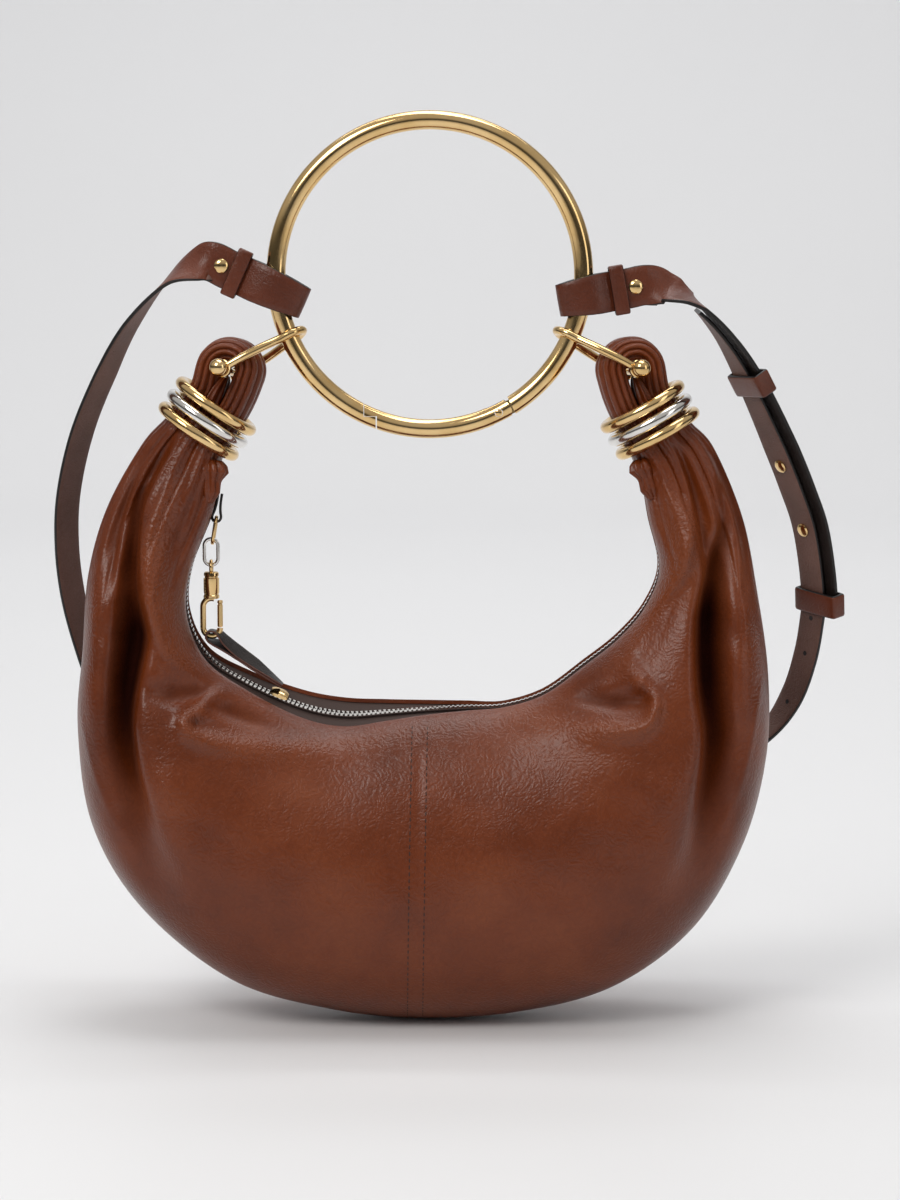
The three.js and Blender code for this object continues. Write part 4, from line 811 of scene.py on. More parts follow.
def shackleSet(neck):
    pin = neck["centre"] + neck["across"] * loopShift + neck["up"] * loopRise
    ring = ringPoint(neck["side"] * shackleSizes["ringAngle"])
    along = unit(ring - pin)
    plane = unit(np.cross(along, neck["pinWay"]))
    sideWay = unit(np.cross(plane, along))
    reach = np.linalg.norm(ring - pin)
    wire = shackleSizes["wire"] / 2
    half = loop["depth"] / 2 + 2 * seatGap + wire
    bowSide = wireRadius + wire + 2 * runGap + 1
    bowEnd = wireRadius * 1.06 + wire + 2 * seatGap

    def place(origin, a, s):
        return origin + along * a + sideWay * s

    def arm(s):
        return [pin + neck["pinWay"] * s * half, place(pin, 0.3 * reach, s * half * 0.99),
                place(pin, 0.62 * reach, s * (bowSide + 0.62 * (half - bowSide))),
                place(ring, -0.1 * reach, s * bowSide * 1.08), place(ring, bowEnd * 0.55, s * bowSide * 0.82)]

    route = curvePoints(arm(-1) + [place(ring, bowEnd, 0)] + arm(1)[::-1], 90)
    bow = tubePiece("bow", route, shackleSizes["bowWire"] / 2, finishes["gold"], 18)
    lugRadius = shackleSizes["pin"] / 2 + seatGap + shackleSizes["lug"]
    parts = [bow]
    for s in (-1, 1):
        rim = 0.5
        profile = [(-wire, 1.9), (-wire, lugRadius - rim), (-wire + rim, lugRadius), (wire - rim, lugRadius),
                   (wire, lugRadius - rim), (wire, 1.9)]
        parts.append(lathePiece("lug", pin + neck["pinWay"] * s * half, neck["pinWay"], profile, finishes["gold"]))
    whole = joinPieces(f"bowShackle_{neck['name']}", parts)
    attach(whole, "bag")
    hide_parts(f"shackle_{neck['name']}")

    ball = shackleSizes["ball"] / 2
    far = half + wire + seatGap + ball
    turns = np.linspace(math.pi, 0.42, 22)
    neckPart = shackleSizes["pin"] / 2
    profile = [(-far + ball * math.cos(t), ball * math.sin(t)) for t in turns]
    profile += [(far - ball * math.cos(t), ball * math.sin(t)) for t in turns[::-1]]
    profile[21] = (profile[21][0], neckPart)
    profile[22] = (profile[22][0], neckPart)
    stem = lathePiece(f"ballPin_{neck['name']}", pin, neck["pinWay"], profile, finishes["gold"], 36)
    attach(stem, "bag")
    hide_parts(f"shackle_pin_{neck['name']}")


for neck in necks:
    neckLoop(neck)
    loopFilling(neck)
    collarRings(neck)
    shackleSet(neck)
print("necks made")

# The ring handle and its sprung gate, cut from one smooth ring
gate = {"pinAngle": 26.7, "pin": 3.6, "tongue": 3.2, "latchReach": 33.0, "latchLip": 6.0}


def prismPiece(outline, half):
    front = [vec(x, -half, z) for x, z in outline]
    back = [vec(x, half, z) for x, z in outline]
    count = len(outline)
    faces = [tuple(range(count)), tuple(range(2 * count - 1, count - 1, -1))]
    faces += [(i, (i + 1) % count, count + (i + 1) % count, count + i) for i in range(count)]
    return newPiece("cutter", front + back, faces, [finishes["gold"]])


def rodPiece(centre, half, radius, sides=48):
    return lathePiece("cutter", centre, vec(0, 1, 0), [(-half, radius), (half, radius)], finishes["gold"], sides)


def cutWith(piece, cutter, how):
    modifier = piece.modifiers.new("cut", "BOOLEAN")
    modifier.operation = how
    modifier.solver = "EXACT"
    modifier.object = cutter
    mesh = bpy.data.meshes.new_from_object(piece.evaluated_get(bpy.context.evaluated_depsgraph_get()))
    piece.modifiers.remove(modifier)
    piece.data = mesh
    bpy.data.objects.remove(cutter)


def ringAndGate():
    centre = vec(0, 0, bag["ringCentreHeight"])
    pin = ringPoint(gate["pinAngle"])
    turn = math.radians(gate["pinAngle"])
    along = vec(math.cos(turn), 0, math.sin(turn))
    outward = unit(pin - centre)
    knuckle = wireRadius * 1.4
    gap = knuckle + 2 * runGap
    inside = bag["ringRadius"] / 2
    outside = bag["ringRadius"] / 3
    lipMiddle = gate["latchReach"] - gate["latchLip"] / 2
    step = bag["ringCentreHeight"] - math.sqrt(bag["ringRadius"] ** 2 - lipMiddle ** 2)
    high = bag["ringCentreHeight"] - inside
    low = bag["ringCentreHeight"] - bag["ringRadius"] - outside

    def flat(a, r):
        place = pin + along * a + outward * r
        return (place[0], place[2])

    def outline(room, endPlane):
        lip = -gate["latchReach"] + gate["latchLip"] + 2 * room
        return [(-gate["latchReach"] + room, high), (-gate["latchReach"] + room, step + room), (lip, step + room),
                (lip, low), flat(endPlane, outside), flat(endPlane, -inside)]

    def strip(start, end, half, depth):
        return prismPiece([flat(start, -half), flat(start, half), flat(end, half), flat(end, -half)], depth)

    points = circlePoints(centre, vec(0, 1, 0), bag["ringRadius"], 288)
    tip = wireRadius * 0.76
    hole = gate["pin"] / 2 + seatGap
    handle = tubePiece("ringHoop", points, wireRadius, finishes["gold"], 40, True)
    cutWith(handle, prismPiece(outline(0, gap), bag["ringWire"]), "DIFFERENCE")
    cutWith(handle, strip(0, gap + 2, tip, gate["tongue"] / 2), "UNION")
    cutWith(handle, rodPiece(pin, gate["tongue"] / 2, tip), "UNION")
    cutWith(handle, rodPiece(pin, bag["ringWire"], hole), "DIFFERENCE")
    space = prismPiece(outline(runGap, 0), bag["ringWire"])
    cutWith(space, rodPiece(pin, bag["ringWire"], knuckle), "UNION")
    swing = tubePiece("ringGate", points, wireRadius, finishes["gold"], 40, True)
    cutWith(swing, space, "INTERSECT")
    slotFrom = -tip - 3 * runGap
    cutWith(swing, strip(slotFrom, gap + bag["ringWire"], bag["ringWire"], gate["tongue"] / 2 + runGap), "DIFFERENCE")
    cutWith(swing, rodPiece(pin, bag["ringWire"], hole), "DIFFERENCE")
    for piece, body, node in ((handle, "bag", "ring_handle"), (swing, "ring_gate", "ring_gate")):
        piece.data.shade_smooth()
        piece.data.set_sharp_from_angle(angle=math.radians(32))
        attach(piece, body)
        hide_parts(node)
    half = wireRadius * 0.9
    radius = gate["pin"] / 2
    rivet = lathePiece("gatePin", pin, vec(0, 1, 0), [(-half - 0.5, 0), (-half - 0.4, radius * 0.6), (-half, radius),
                                                      (half, radius), (half + 0.4, radius * 0.6), (half + 0.5, 0)],
                       finishes["gold"], 36)
    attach(rivet, "bag")
    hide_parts("ring_gate_pin")


ringAndGate()
print("ring and gate made")

# Straps: rows of x, height and depth as shares, side direction and width
strap = {
    "width": 16.0, "tabWidth": 20.0, "thickness": 1.8, "keeperWall": 1.6, "keeperRoom": 0.75, "keeperLength": 12.0,
    "tabKeeperLength": 7.5, "tabReach": (0, 9, 18), "perRow": 8, "returnRows": 22 / 8,
    "hanging": [
        (-0.645, 1.203, 0.01, -0.25, -0.50, -0.83, 20), (-0.715, 1.182, 0.03, -0.25, -0.85, -0.45, 17.6),
        (-0.831, 1.109, 0.08, -0.45, -0.90, -0.10, 16), (-0.911, 1.029, 0.13, -0.60, -0.80, 0, 16),
        (-0.986, 0.933, 0.20, -0.64, -0.77, 0, 16), (-1.032, 0.829, 0.27, -0.64, -0.77, 0, 16),
        (-1.040, 0.749, 0.32, -0.64, -0.77, 0, 16), (-1.030, 0.676, 0.37, -0.64, -0.77, 0, 16),
        (-1.005, 0.603, 0.43, -0.60, -0.80, 0, 16), (-0.957, 0.508, 0.51, -0.40, -0.90, 0, 16),
        (-0.831, 0.387, 0.60, -0.20, -1.00, 0, 16), (-0.613, 0.292, 0.66, 0.00, -1.00, 0, 16),
        (-0.298, 0.235, 0.69, 0.00, -1.00, 0, 16), (0.017, 0.216, 0.70, 0.00, -1.00, 0, 16),
        (0.332, 0.235, 0.69, 0.00, -1.00, 0, 16), (0.648, 0.295, 0.66, 0.00, -1.00, 0, 16),
        (0.860, 0.370, 0.60, 0.20, -1.00, 0, 16), (1.008, 0.436, 0.53, 0.40, -0.90, 0, 16),
        (1.080, 0.498, 0.46, 0.60, -0.80, 0, 16), (1.117, 0.565, 0.41, 0.64, -0.77, 0, 16),
        (1.132, 0.622, 0.37, 0.64, -0.77, 0, 16),
    ],
    "doubled": [
        (1.135, 0.660, 0.34, 0.64, -0.77, 0, 16), (1.103, 0.778, 0.28, 0.64, -0.77, 0, 16),
        (1.060, 0.844, 0.23, 0.64, -0.77, 0, 16), (1.011, 0.908, 0.18, 0.62, -0.78, 0, 16),
        (0.920, 1.014, 0.10, 0.50, -0.85, -0.10, 16), (0.845, 1.085, 0.05, 0.35, -0.92, -0.20, 16),
        (0.775, 1.130, 0.02, 0.28, -0.92, -0.27, 16),
    ],
    "end": [(0.695, 1.165, 0.01, 0.18, -0.58, -0.79, 20)],
    "tabs": {"left": (-1, 84, 24), "right": (1, 82, 10)},
    "stud": {"head": 3.5, "shank": 1.3},
}
layerOut = strap["thickness"] / 2 + 0.2


def strapRow(row):
    x, z, y, sx, sy, sz, width = row
    place = vec(bag["centreX"] + x * bagHalf, y * bag["depth"], z * bag["height"])
    return {"place": place, "side": unit(vec(sx, sy, sz)), "width": width}


def ringTab(side, ringAngle, tiltDegrees):
    tilt = math.radians(tiltDegrees)
    away = vec(side * math.cos(tilt), 0, math.sin(tilt))
    sideWay = vec(side * math.sin(tilt), 0, -math.cos(tilt))
    nose = ringPoint(side * ringAngle)
    skew = math.radians(tiltDegrees + 90 - ringAngle)
    width = strap["tabWidth"]
    wireReach = wireRadius / math.cos(skew) + width / 2 * math.tan(skew) + width ** 2 / (8 * bag["ringRadius"])
    reach = wireReach + strap["thickness"] / 2 + 5 * seatGap
    noseHalf = wireRadius + 2 * runGap + strap["thickness"] / 2
    start = reach + 3.3

    def station(a, n):
        return {"place": nose + away * a - vec(0, n, 0), "side": sideWay, "width": width}

    half = [(start - 2.6, 2.6), (0.76 * reach, 4.8), (0.3 * reach, noseHalf), (-0.3 * reach, noseHalf),
            (-0.76 * reach, 5.0), (-0.97 * reach, 2.7)]
    bend = [station(a, -n) for a, n in half] + [station(-reach, 0)] + [station(a, n) for a, n in half[::-1]]
    for i, narrow in enumerate((0, 0, 0.03, 0.10, 0.17, 0.20, 0.20, 0.20, 0.17, 0.10, 0.03, 0, 0)):
        bend[i]["width"] = width * (1 - narrow)
    return {"bend": bend, "away": away, "sideWay": sideWay, "start": start, "station": station}


def framesAlong(rows, perRow):
    places = [row["place"] for row in rows]
    count = (len(rows) - 1) * perRow
    frames = []
    for i in range(count + 1):
        row = i / perRow
        k = min(int(row), len(rows) - 2)
        t = row - k
        along = unit(curvePoint(places, min(row + 0.01, len(rows) - 1)) - curvePoint(places, max(row - 0.01, 0)))
        rough = rows[k]["side"] * (1 - t) + rows[k + 1]["side"] * t
        normal = unit(np.cross(along, rough))
        side = unit(np.cross(normal, along))
        width = rows[k]["width"] * (1 - t) + rows[k + 1]["width"] * t
        frames.append({"place": curvePoint(places, row), "side": side, "normal": normal, "along": along,
                       "width": width})
    return frames


def offsetFrame(frame, out, sideways=0.0, width=None):
    moved = {**frame, "place": frame["place"] + frame["normal"] * out + frame["side"] * sideways}
    if width is not None:
        moved["width"] = width
    return moved


# A strip with soft edges: face 0 is the outer leather, 1 the back, 2 the painted edges
def stripPiece(name, stations, thickness, materials, smoothing=3, bulge=0.12):
    places = curvePoints([s["place"] for s in stations], (len(stations) - 1) * smoothing + 1)
    rows = np.linspace(0, len(stations) - 1, len(places))
    index = range(len(stations))
    sides = np.array([[np.interp(r, index, [s["side"][k] for s in stations]) for k in range(3)] for r in rows])
    widths = np.interp(rows, index, [s["width"] for s in stations])
    along = np.gradient(places, axis=0)
    along /= np.linalg.norm(along, axis=1)[:, None]
    normal = np.cross(along, sides)
    normal /= np.linalg.norm(normal, axis=1)[:, None]
    sides = np.cross(normal, along)
    t = thickness / 2
    profile = []
    kinds = []
    flats = np.linspace(-1, 1, 7)
    for s in flats[:-1]:
        profile.append((s, -0.35, -t - bulge * (1 - s * s)))
        kinds.append(1)
    for turn in (-90, -45, 0, 45):
        profile.append((1, -0.35 + 0.35 * math.cos(math.radians(turn)), t * math.sin(math.radians(turn))))
        kinds.append(2)
    for s in flats[:0:-1]:
        profile.append((s, -0.35, t + bulge * (1 - s * s)))
        kinds.append(0)
    for turn in (90, 135, 180, 225):
        profile.append((-1, -0.35 - 0.35 * math.cos(math.radians(turn)), t * math.sin(math.radians(turn))))
        kinds.append(2)
    rings = []
    for place, side, out, width in zip(places, sides, normal, widths):
        rings.append([place + side * (s * (width / 2 - 0.35) + (edge + 0.35) * np.sign(s)) + out * n
                      for s, edge, n in profile])
    count = len(profile)
    faces = ringFaces(len(rings), count)
    kindList = np.array([kinds[i % count] for i in range((len(rings) - 1) * count)] + [2, 2])
    return newPiece(name, rings, faces, materials, kindList, 55)


def sleevePiece(name, centre, axes, width, thickness, length, wall=1.6, sides=64):
    side, normal, along = axes
    turns = (np.arange(sides) + 0.5) / sides * 2 * math.pi

    def outline(w, t, power):
        c, s = np.cos(turns), np.sin(turns)
        return np.stack([np.sign(c) * np.abs(c) ** power * w / 2, np.sign(s) * np.abs(s) ** power * t / 2], 1)

    outer = outline(width + 2 * wall, thickness + 2 * wall, 0.22)
    inner = outline(width, thickness, 0.16)
    rings = []
    for a, shape in ((-1, 0.5), (-0.94, 0.15), (-0.8, 0), (0.8, 0), (0.94, 0.15), (1, 0.5)):
        ring = outer * (1 - shape) + inner * shape
        rings.append(centre + np.outer(ring[:, 0], side) + np.outer(ring[:, 1], normal) + along * a * length / 2)
    for a in (1, 0.9, 0, -0.9, -1):
        edge = 0.05 if abs(a) == 1 else 0.0
        ring = inner * (1 - edge) + outer * edge
        rings.append(centre + np.outer(ring[:, 0], side) + np.outer(ring[:, 1], normal) + along * a * length / 2)
    faces = ringFaces(len(rings), sides, True)
    kinds = np.repeat([2, 0, 0, 0, 2, 2, 1, 1, 1, 1, 2], sides)
    return newPiece(name, rings, faces, [finishes["strapLeather"], finishes["darkBack"], finishes["edgePaint"]],
                    kinds, 55)


def studPiece(name, node, place, way, headOut, backOut):
    head, shank = strap["stud"]["head"], strap["stud"]["shank"]
    profile = [(headOut + 1.6, 0), (headOut + 1.5, head * 0.45), (headOut + 1.1, head * 0.8), (headOut + 0.5, head),
               (headOut, head), (headOut, shank), (backOut, shank), (backOut, head), (backOut - 0.7, head),
               (backOut - 1, head * 0.8), (backOut - 1, 0)]
    piece = lathePiece(name, place, way, profile, finishes["gold"], 32)
    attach(piece, "bag")
    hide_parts(node)


def straps():
    perRow = strap["perRow"]
    tabs = {name: ringTab(*values) for name, values in strap["tabs"].items()}
    left, right = tabs["left"], tabs["right"]
    leftRows = [left["station"](left["start"] + a, 0) for a in strap["tabReach"]]
    rightRows = [right["station"](right["start"] + a, 0) for a in strap["tabReach"]][::-1]
    hanging = [strapRow(row) for row in strap["hanging"]]
    doubled = [strapRow(row) for row in strap["doubled"]]
    end = [strapRow(row) for row in strap["end"]]
    allFrames = framesAlong(leftRows + hanging + doubled + end + rightRows, perRow)
    runStart = perRow * (len(leftRows) + len(hanging))
    runLength = perRow * (len(doubled) - 1)
    leftFrames = allFrames[:runStart + runLength + 1]
    returnCount = int(strap["returnRows"] * perRow) + 1
    tabWidth = strap["tabWidth"]

    leftReturn = [offsetFrame(f, -layerOut, width=tabWidth) for f in leftFrames[:returnCount]][::-1]
    longStations = leftReturn + left["bend"] + [offsetFrame(f, layerOut) for f in leftFrames]
    longPiece = stripPiece("longStrap", longStations, strap["thickness"],
                           [finishes["strapLeather"], finishes["strapBack"], finishes["edgePaint"]], 2)
    pairFrames = [{**f, "width": tabWidth} for f in allFrames[runStart:]]
    pairOut = layerOut + strap["thickness"] + 2 * strap["keeperRoom"] - 0.4
    shortFront = []
    for i, f in enumerate(pairFrames):
        near = min(max((i - runLength - perRow / 3) / (perRow * 2 / 3), 0), 1)
        shift = (tabWidth - strap["width"]) / 2 + 2
        shortFront.append(offsetFrame(f, pairOut + near * (layerOut - pairOut), shift * (1 - near)))
    rightReturn = [offsetFrame(f, -layerOut) for f in pairFrames[-returnCount:]][::-1]
    shortPiece = stripPiece("shortStrap", shortFront + right["bend"][::-1] + rightReturn, strap["thickness"],
                            [finishes["strapLeather"], finishes["darkBack"], finishes["edgePaint"]], 2)
    for piece, node in ((longPiece, "strap_long"), (shortPiece, "strap_short")):
        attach(piece, "bag")
        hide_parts(node)

    headGap = strap["thickness"] / 2 + seatGap
    leftSpot = leftFrames[round(perRow * 4 / 3)]
    rightSpot = pairFrames[len(pairFrames) - 1 - round(perRow * 4 / 3)]
    studPiece("tabStud_left", "stud_left", leftSpot["place"], leftSpot["normal"], layerOut + headGap,
              -layerOut - headGap)
    studPiece("tabStud_right", "stud_right", rightSpot["place"], rightSpot["normal"], layerOut + headGap,
              -layerOut - headGap)
    for label, rows in (("lower", 1), ("upper", 8 / 3)):
        spot = leftFrames[runStart + round(perRow * rows)]
        studPiece(f"runStud_{label}", f"stud_run_{label}", spot["place"], -spot["normal"], headGap - layerOut,
                  -pairOut - headGap)

    tabRoom = tabWidth + 2 * strap["keeperRoom"]
    layerRoom = 2 * layerOut + strap["thickness"] + 2 * strap["keeperRoom"]
    for label, tab in tabs.items():
        middle = tab["station"](tab["start"] + strap["tabKeeperLength"] / 2 + seatGap, 0)["place"]
        axes = (tab["sideWay"], vec(0, -1, 0), tab["away"])
        piece = sleevePiece(f"tabKeeper_{label}", middle, axes, tabRoom, layerRoom, strap["tabKeeperLength"])
        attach(piece, "bag")
        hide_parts(f"keeper_tab_{label}")
        routes = []
        for along, up in ((-4.2, 5.6), (-4.2, 1.2)):
            spot = tab["station"](tab["start"] + 2.2 + along, layerOut + strap["thickness"] / 2 + 0.12)["place"]
            base = spot - tab["sideWay"] * up
            routes.append([base - tab["away"] * 2.0, base + tab["away"] * 2.8])
        stitches = repeatAlong(f"tabStitches_{label}", routes, stitchTree,
                               {"Spacing": 2.2, "Length": 1.5, "Width": 0.5, "Height": 0.45})
        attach(stitches, "bag")
    pairWidth = tabWidth + 3 + 2 * strap["keeperRoom"]
    pairRoom = pairOut - layerOut + strap["thickness"] + 2 * strap["keeperRoom"]
    for label, rows in (("lower", 0), ("upper", 4)):
        f = offsetFrame(leftFrames[runStart + perRow * rows], (layerOut + pairOut) / 2, 3)
        piece = sleevePiece(f"runKeeper_{label}", f["place"], (f["side"], f["normal"], f["along"]), pairWidth, pairRoom,
                            strap["keeperLength"])
        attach(piece, "bag")
        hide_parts(f"keeper_run_{label}")
    # Punched holes down the long strap below the lower keeper
    holes = []
    for rows in (-0.75, -1.9, -3.1, -4.2):
        f = leftFrames[runStart + round(perRow * rows)]
        for out in (-1, 1):
            centre = f["place"] + f["normal"] * (layerOut + out * (strap["thickness"] / 2 + 0.13))
            holes.append(lathePiece("hole", centre, f["normal"], [(-0.04, 0), (-0.04, 1.25), (0.04, 1.15), (0.04, 0)],
                                    finishes["edgePaint"], 24))
    punched = joinPieces("punchedHoles", holes)
    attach(punched, "bag")


straps()
print("straps made")

# Zip: tape, teeth, slider
zipSizes = {
    "drop": 7.0, "tape": 1.2, "inset": 5, "bodyStations": 36, "bodyLaps": 20, "sliderShare": 0.345,
    "sliderLength": 9.0, "sliderWidth": 6.4, "sliderHeight": 2.0, "pullWidth": 8.0, "pullThickness": 2.2,
    "tooth": {"Spacing": 2.3, "Length": 1.25, "Width": 2.6, "Height": 1.7},
}
teethRise = zipSizes["tape"] + 3 * seatGap
sliderRise = teethRise + zipSizes["tape"] + seatGap


def mouthPlace(share):
    row = smoothRows([share])[0]
    return vec(row[0], 0, row[1] + row[6] / 2)


def zipPlace(share, y, rise):
    row = smoothRows([share])[0]
    along = unit(mouthPlace(share + 0.01) - mouthPlace(share - 0.01))
    up = vec(-along[2], 0, along[0])
    return mouthPlace(share) + up * (rise + y * row[6] / row[5] - zipSizes["drop"] / 2) + vec(0, y, 0)


def tapeHalf(share):
    front = shellPlaces([share], [0, 0.04, 0.08])[0][0]
    flare = (abs(front[1][1]) - abs(front[0][1])) / math.hypot(front[1][0] - front[0][0], front[1][2] - front[0][2])
    plain = abs(front[0][1]) + flare * zipSizes["drop"] / 2 - bag["wall"] * math.hypot(1, flare) + 0.9
    return min(max(plain, 1.0), smoothRows([share])[0][5] / 2 + 3.0)


def zipStrip(name, start, end, stations, halfAt, low, high, material, crown=0.0):
    rings = []
    for share in np.linspace(start, end, stations + 1):
        half = halfAt(share)
        across = np.linspace(-1, 1, 9)
        ring = [zipPlace(share, half * s, low) for s in across]
        ring += [zipPlace(share, half * s, high + crown * (1 - s * s)) for s in across[::-1]]
        rings.append(ring)
    return newPiece(name, rings, ringFaces(len(rings), 18), [material], sharpAngle=40)


def zipPieces():
    first = zipSizes["inset"] / zipSizes["bodyStations"]
    last = 1 - first
    tape = zipStrip("zipTape", first, last, 120, tapeHalf, 0, zipSizes["tape"], finishes["zipCloth"])
    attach(tape, "bag")
    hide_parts("zip_tape")
    inset = 1 / zipSizes["bodyStations"]
    shares = np.linspace(first + inset, last - inset, 160)
    routes = [[zipPlace(s, -0.95, teethRise + 0.55) for s in shares],
              [zipPlace(s + 0.0026, 0.95, teethRise + 0.55) for s in shares]]
    teeth = repeatAlong("zipTeeth", routes, teethTree, zipSizes["tooth"])
    cords = [tubePiece("cord", [zipPlace(s, y, teethRise + 0.2) for s in shares], 0.55, finishes["zipCloth"], 8)
             for y in (-2.0, 2.0)]
    teeth = joinPieces("zipTeethRows", [teeth] + cords)
    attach(teeth, "bag")
    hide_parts("zip_teeth")

    share = zipSizes["sliderShare"]
    perShare = np.linalg.norm(mouthPlace(share + 0.01) - mouthPlace(share - 0.01)) / 0.02
    reach = zipSizes["sliderLength"] / 2 / perShare
    rings = []
    for t in np.linspace(-1, 1, 11):
        half = zipSizes["sliderWidth"] / 2 * (1 - 0.25 * max(t, 0) ** 2 - 0.12 * abs(t) ** 6)
        top = sliderRise + zipSizes["sliderHeight"] * (1 - 0.35 * abs(t) ** 3)
        across = (-1, -0.94, -0.7, 0, 0.7, 0.94, 1)
        ring = [zipPlace(share + t * reach, half * s, sliderRise) for s in across]
        ring += [zipPlace(share + t * reach, half * s, top - 0.5 * abs(s) ** 4) for s in across[::-1]]
        rings.append(ring)
    slider = newPiece("zipSlider", rings, ringFaces(len(rings), 14), [finishes["gold"]], sharpAngle=35)
    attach(slider, "bag")
    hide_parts("zip_slider")


zipPieces()
print("zip made")

# Key chain: leather tab, two links, snap hook with its lever, and the zip's pull
chain = {"linkWire": 1.8, "linkLength": 15.0, "linkWidth": 8.6, "hookWire": 3.0, "hookLength": 22.0,
         "hookWidth": 11.5, "eye": 3.0, "barrelLength": 13.5, "barrelRadius": 4.0}


def ovalPoints(centre, longWay, shortWay, length, width, wire, steps=64):
    straight = (length - width) / 2
    bend = width / 2 - wire
    turns = (np.arange(steps) + 0.5) / steps * 2 * math.pi
    points = []
    for turn in turns:
        outward = longWay * math.sin(turn) + shortWay * math.cos(turn)
        points.append(centre + longWay * np.sign(math.sin(turn)) * straight + outward * bend)
    return points


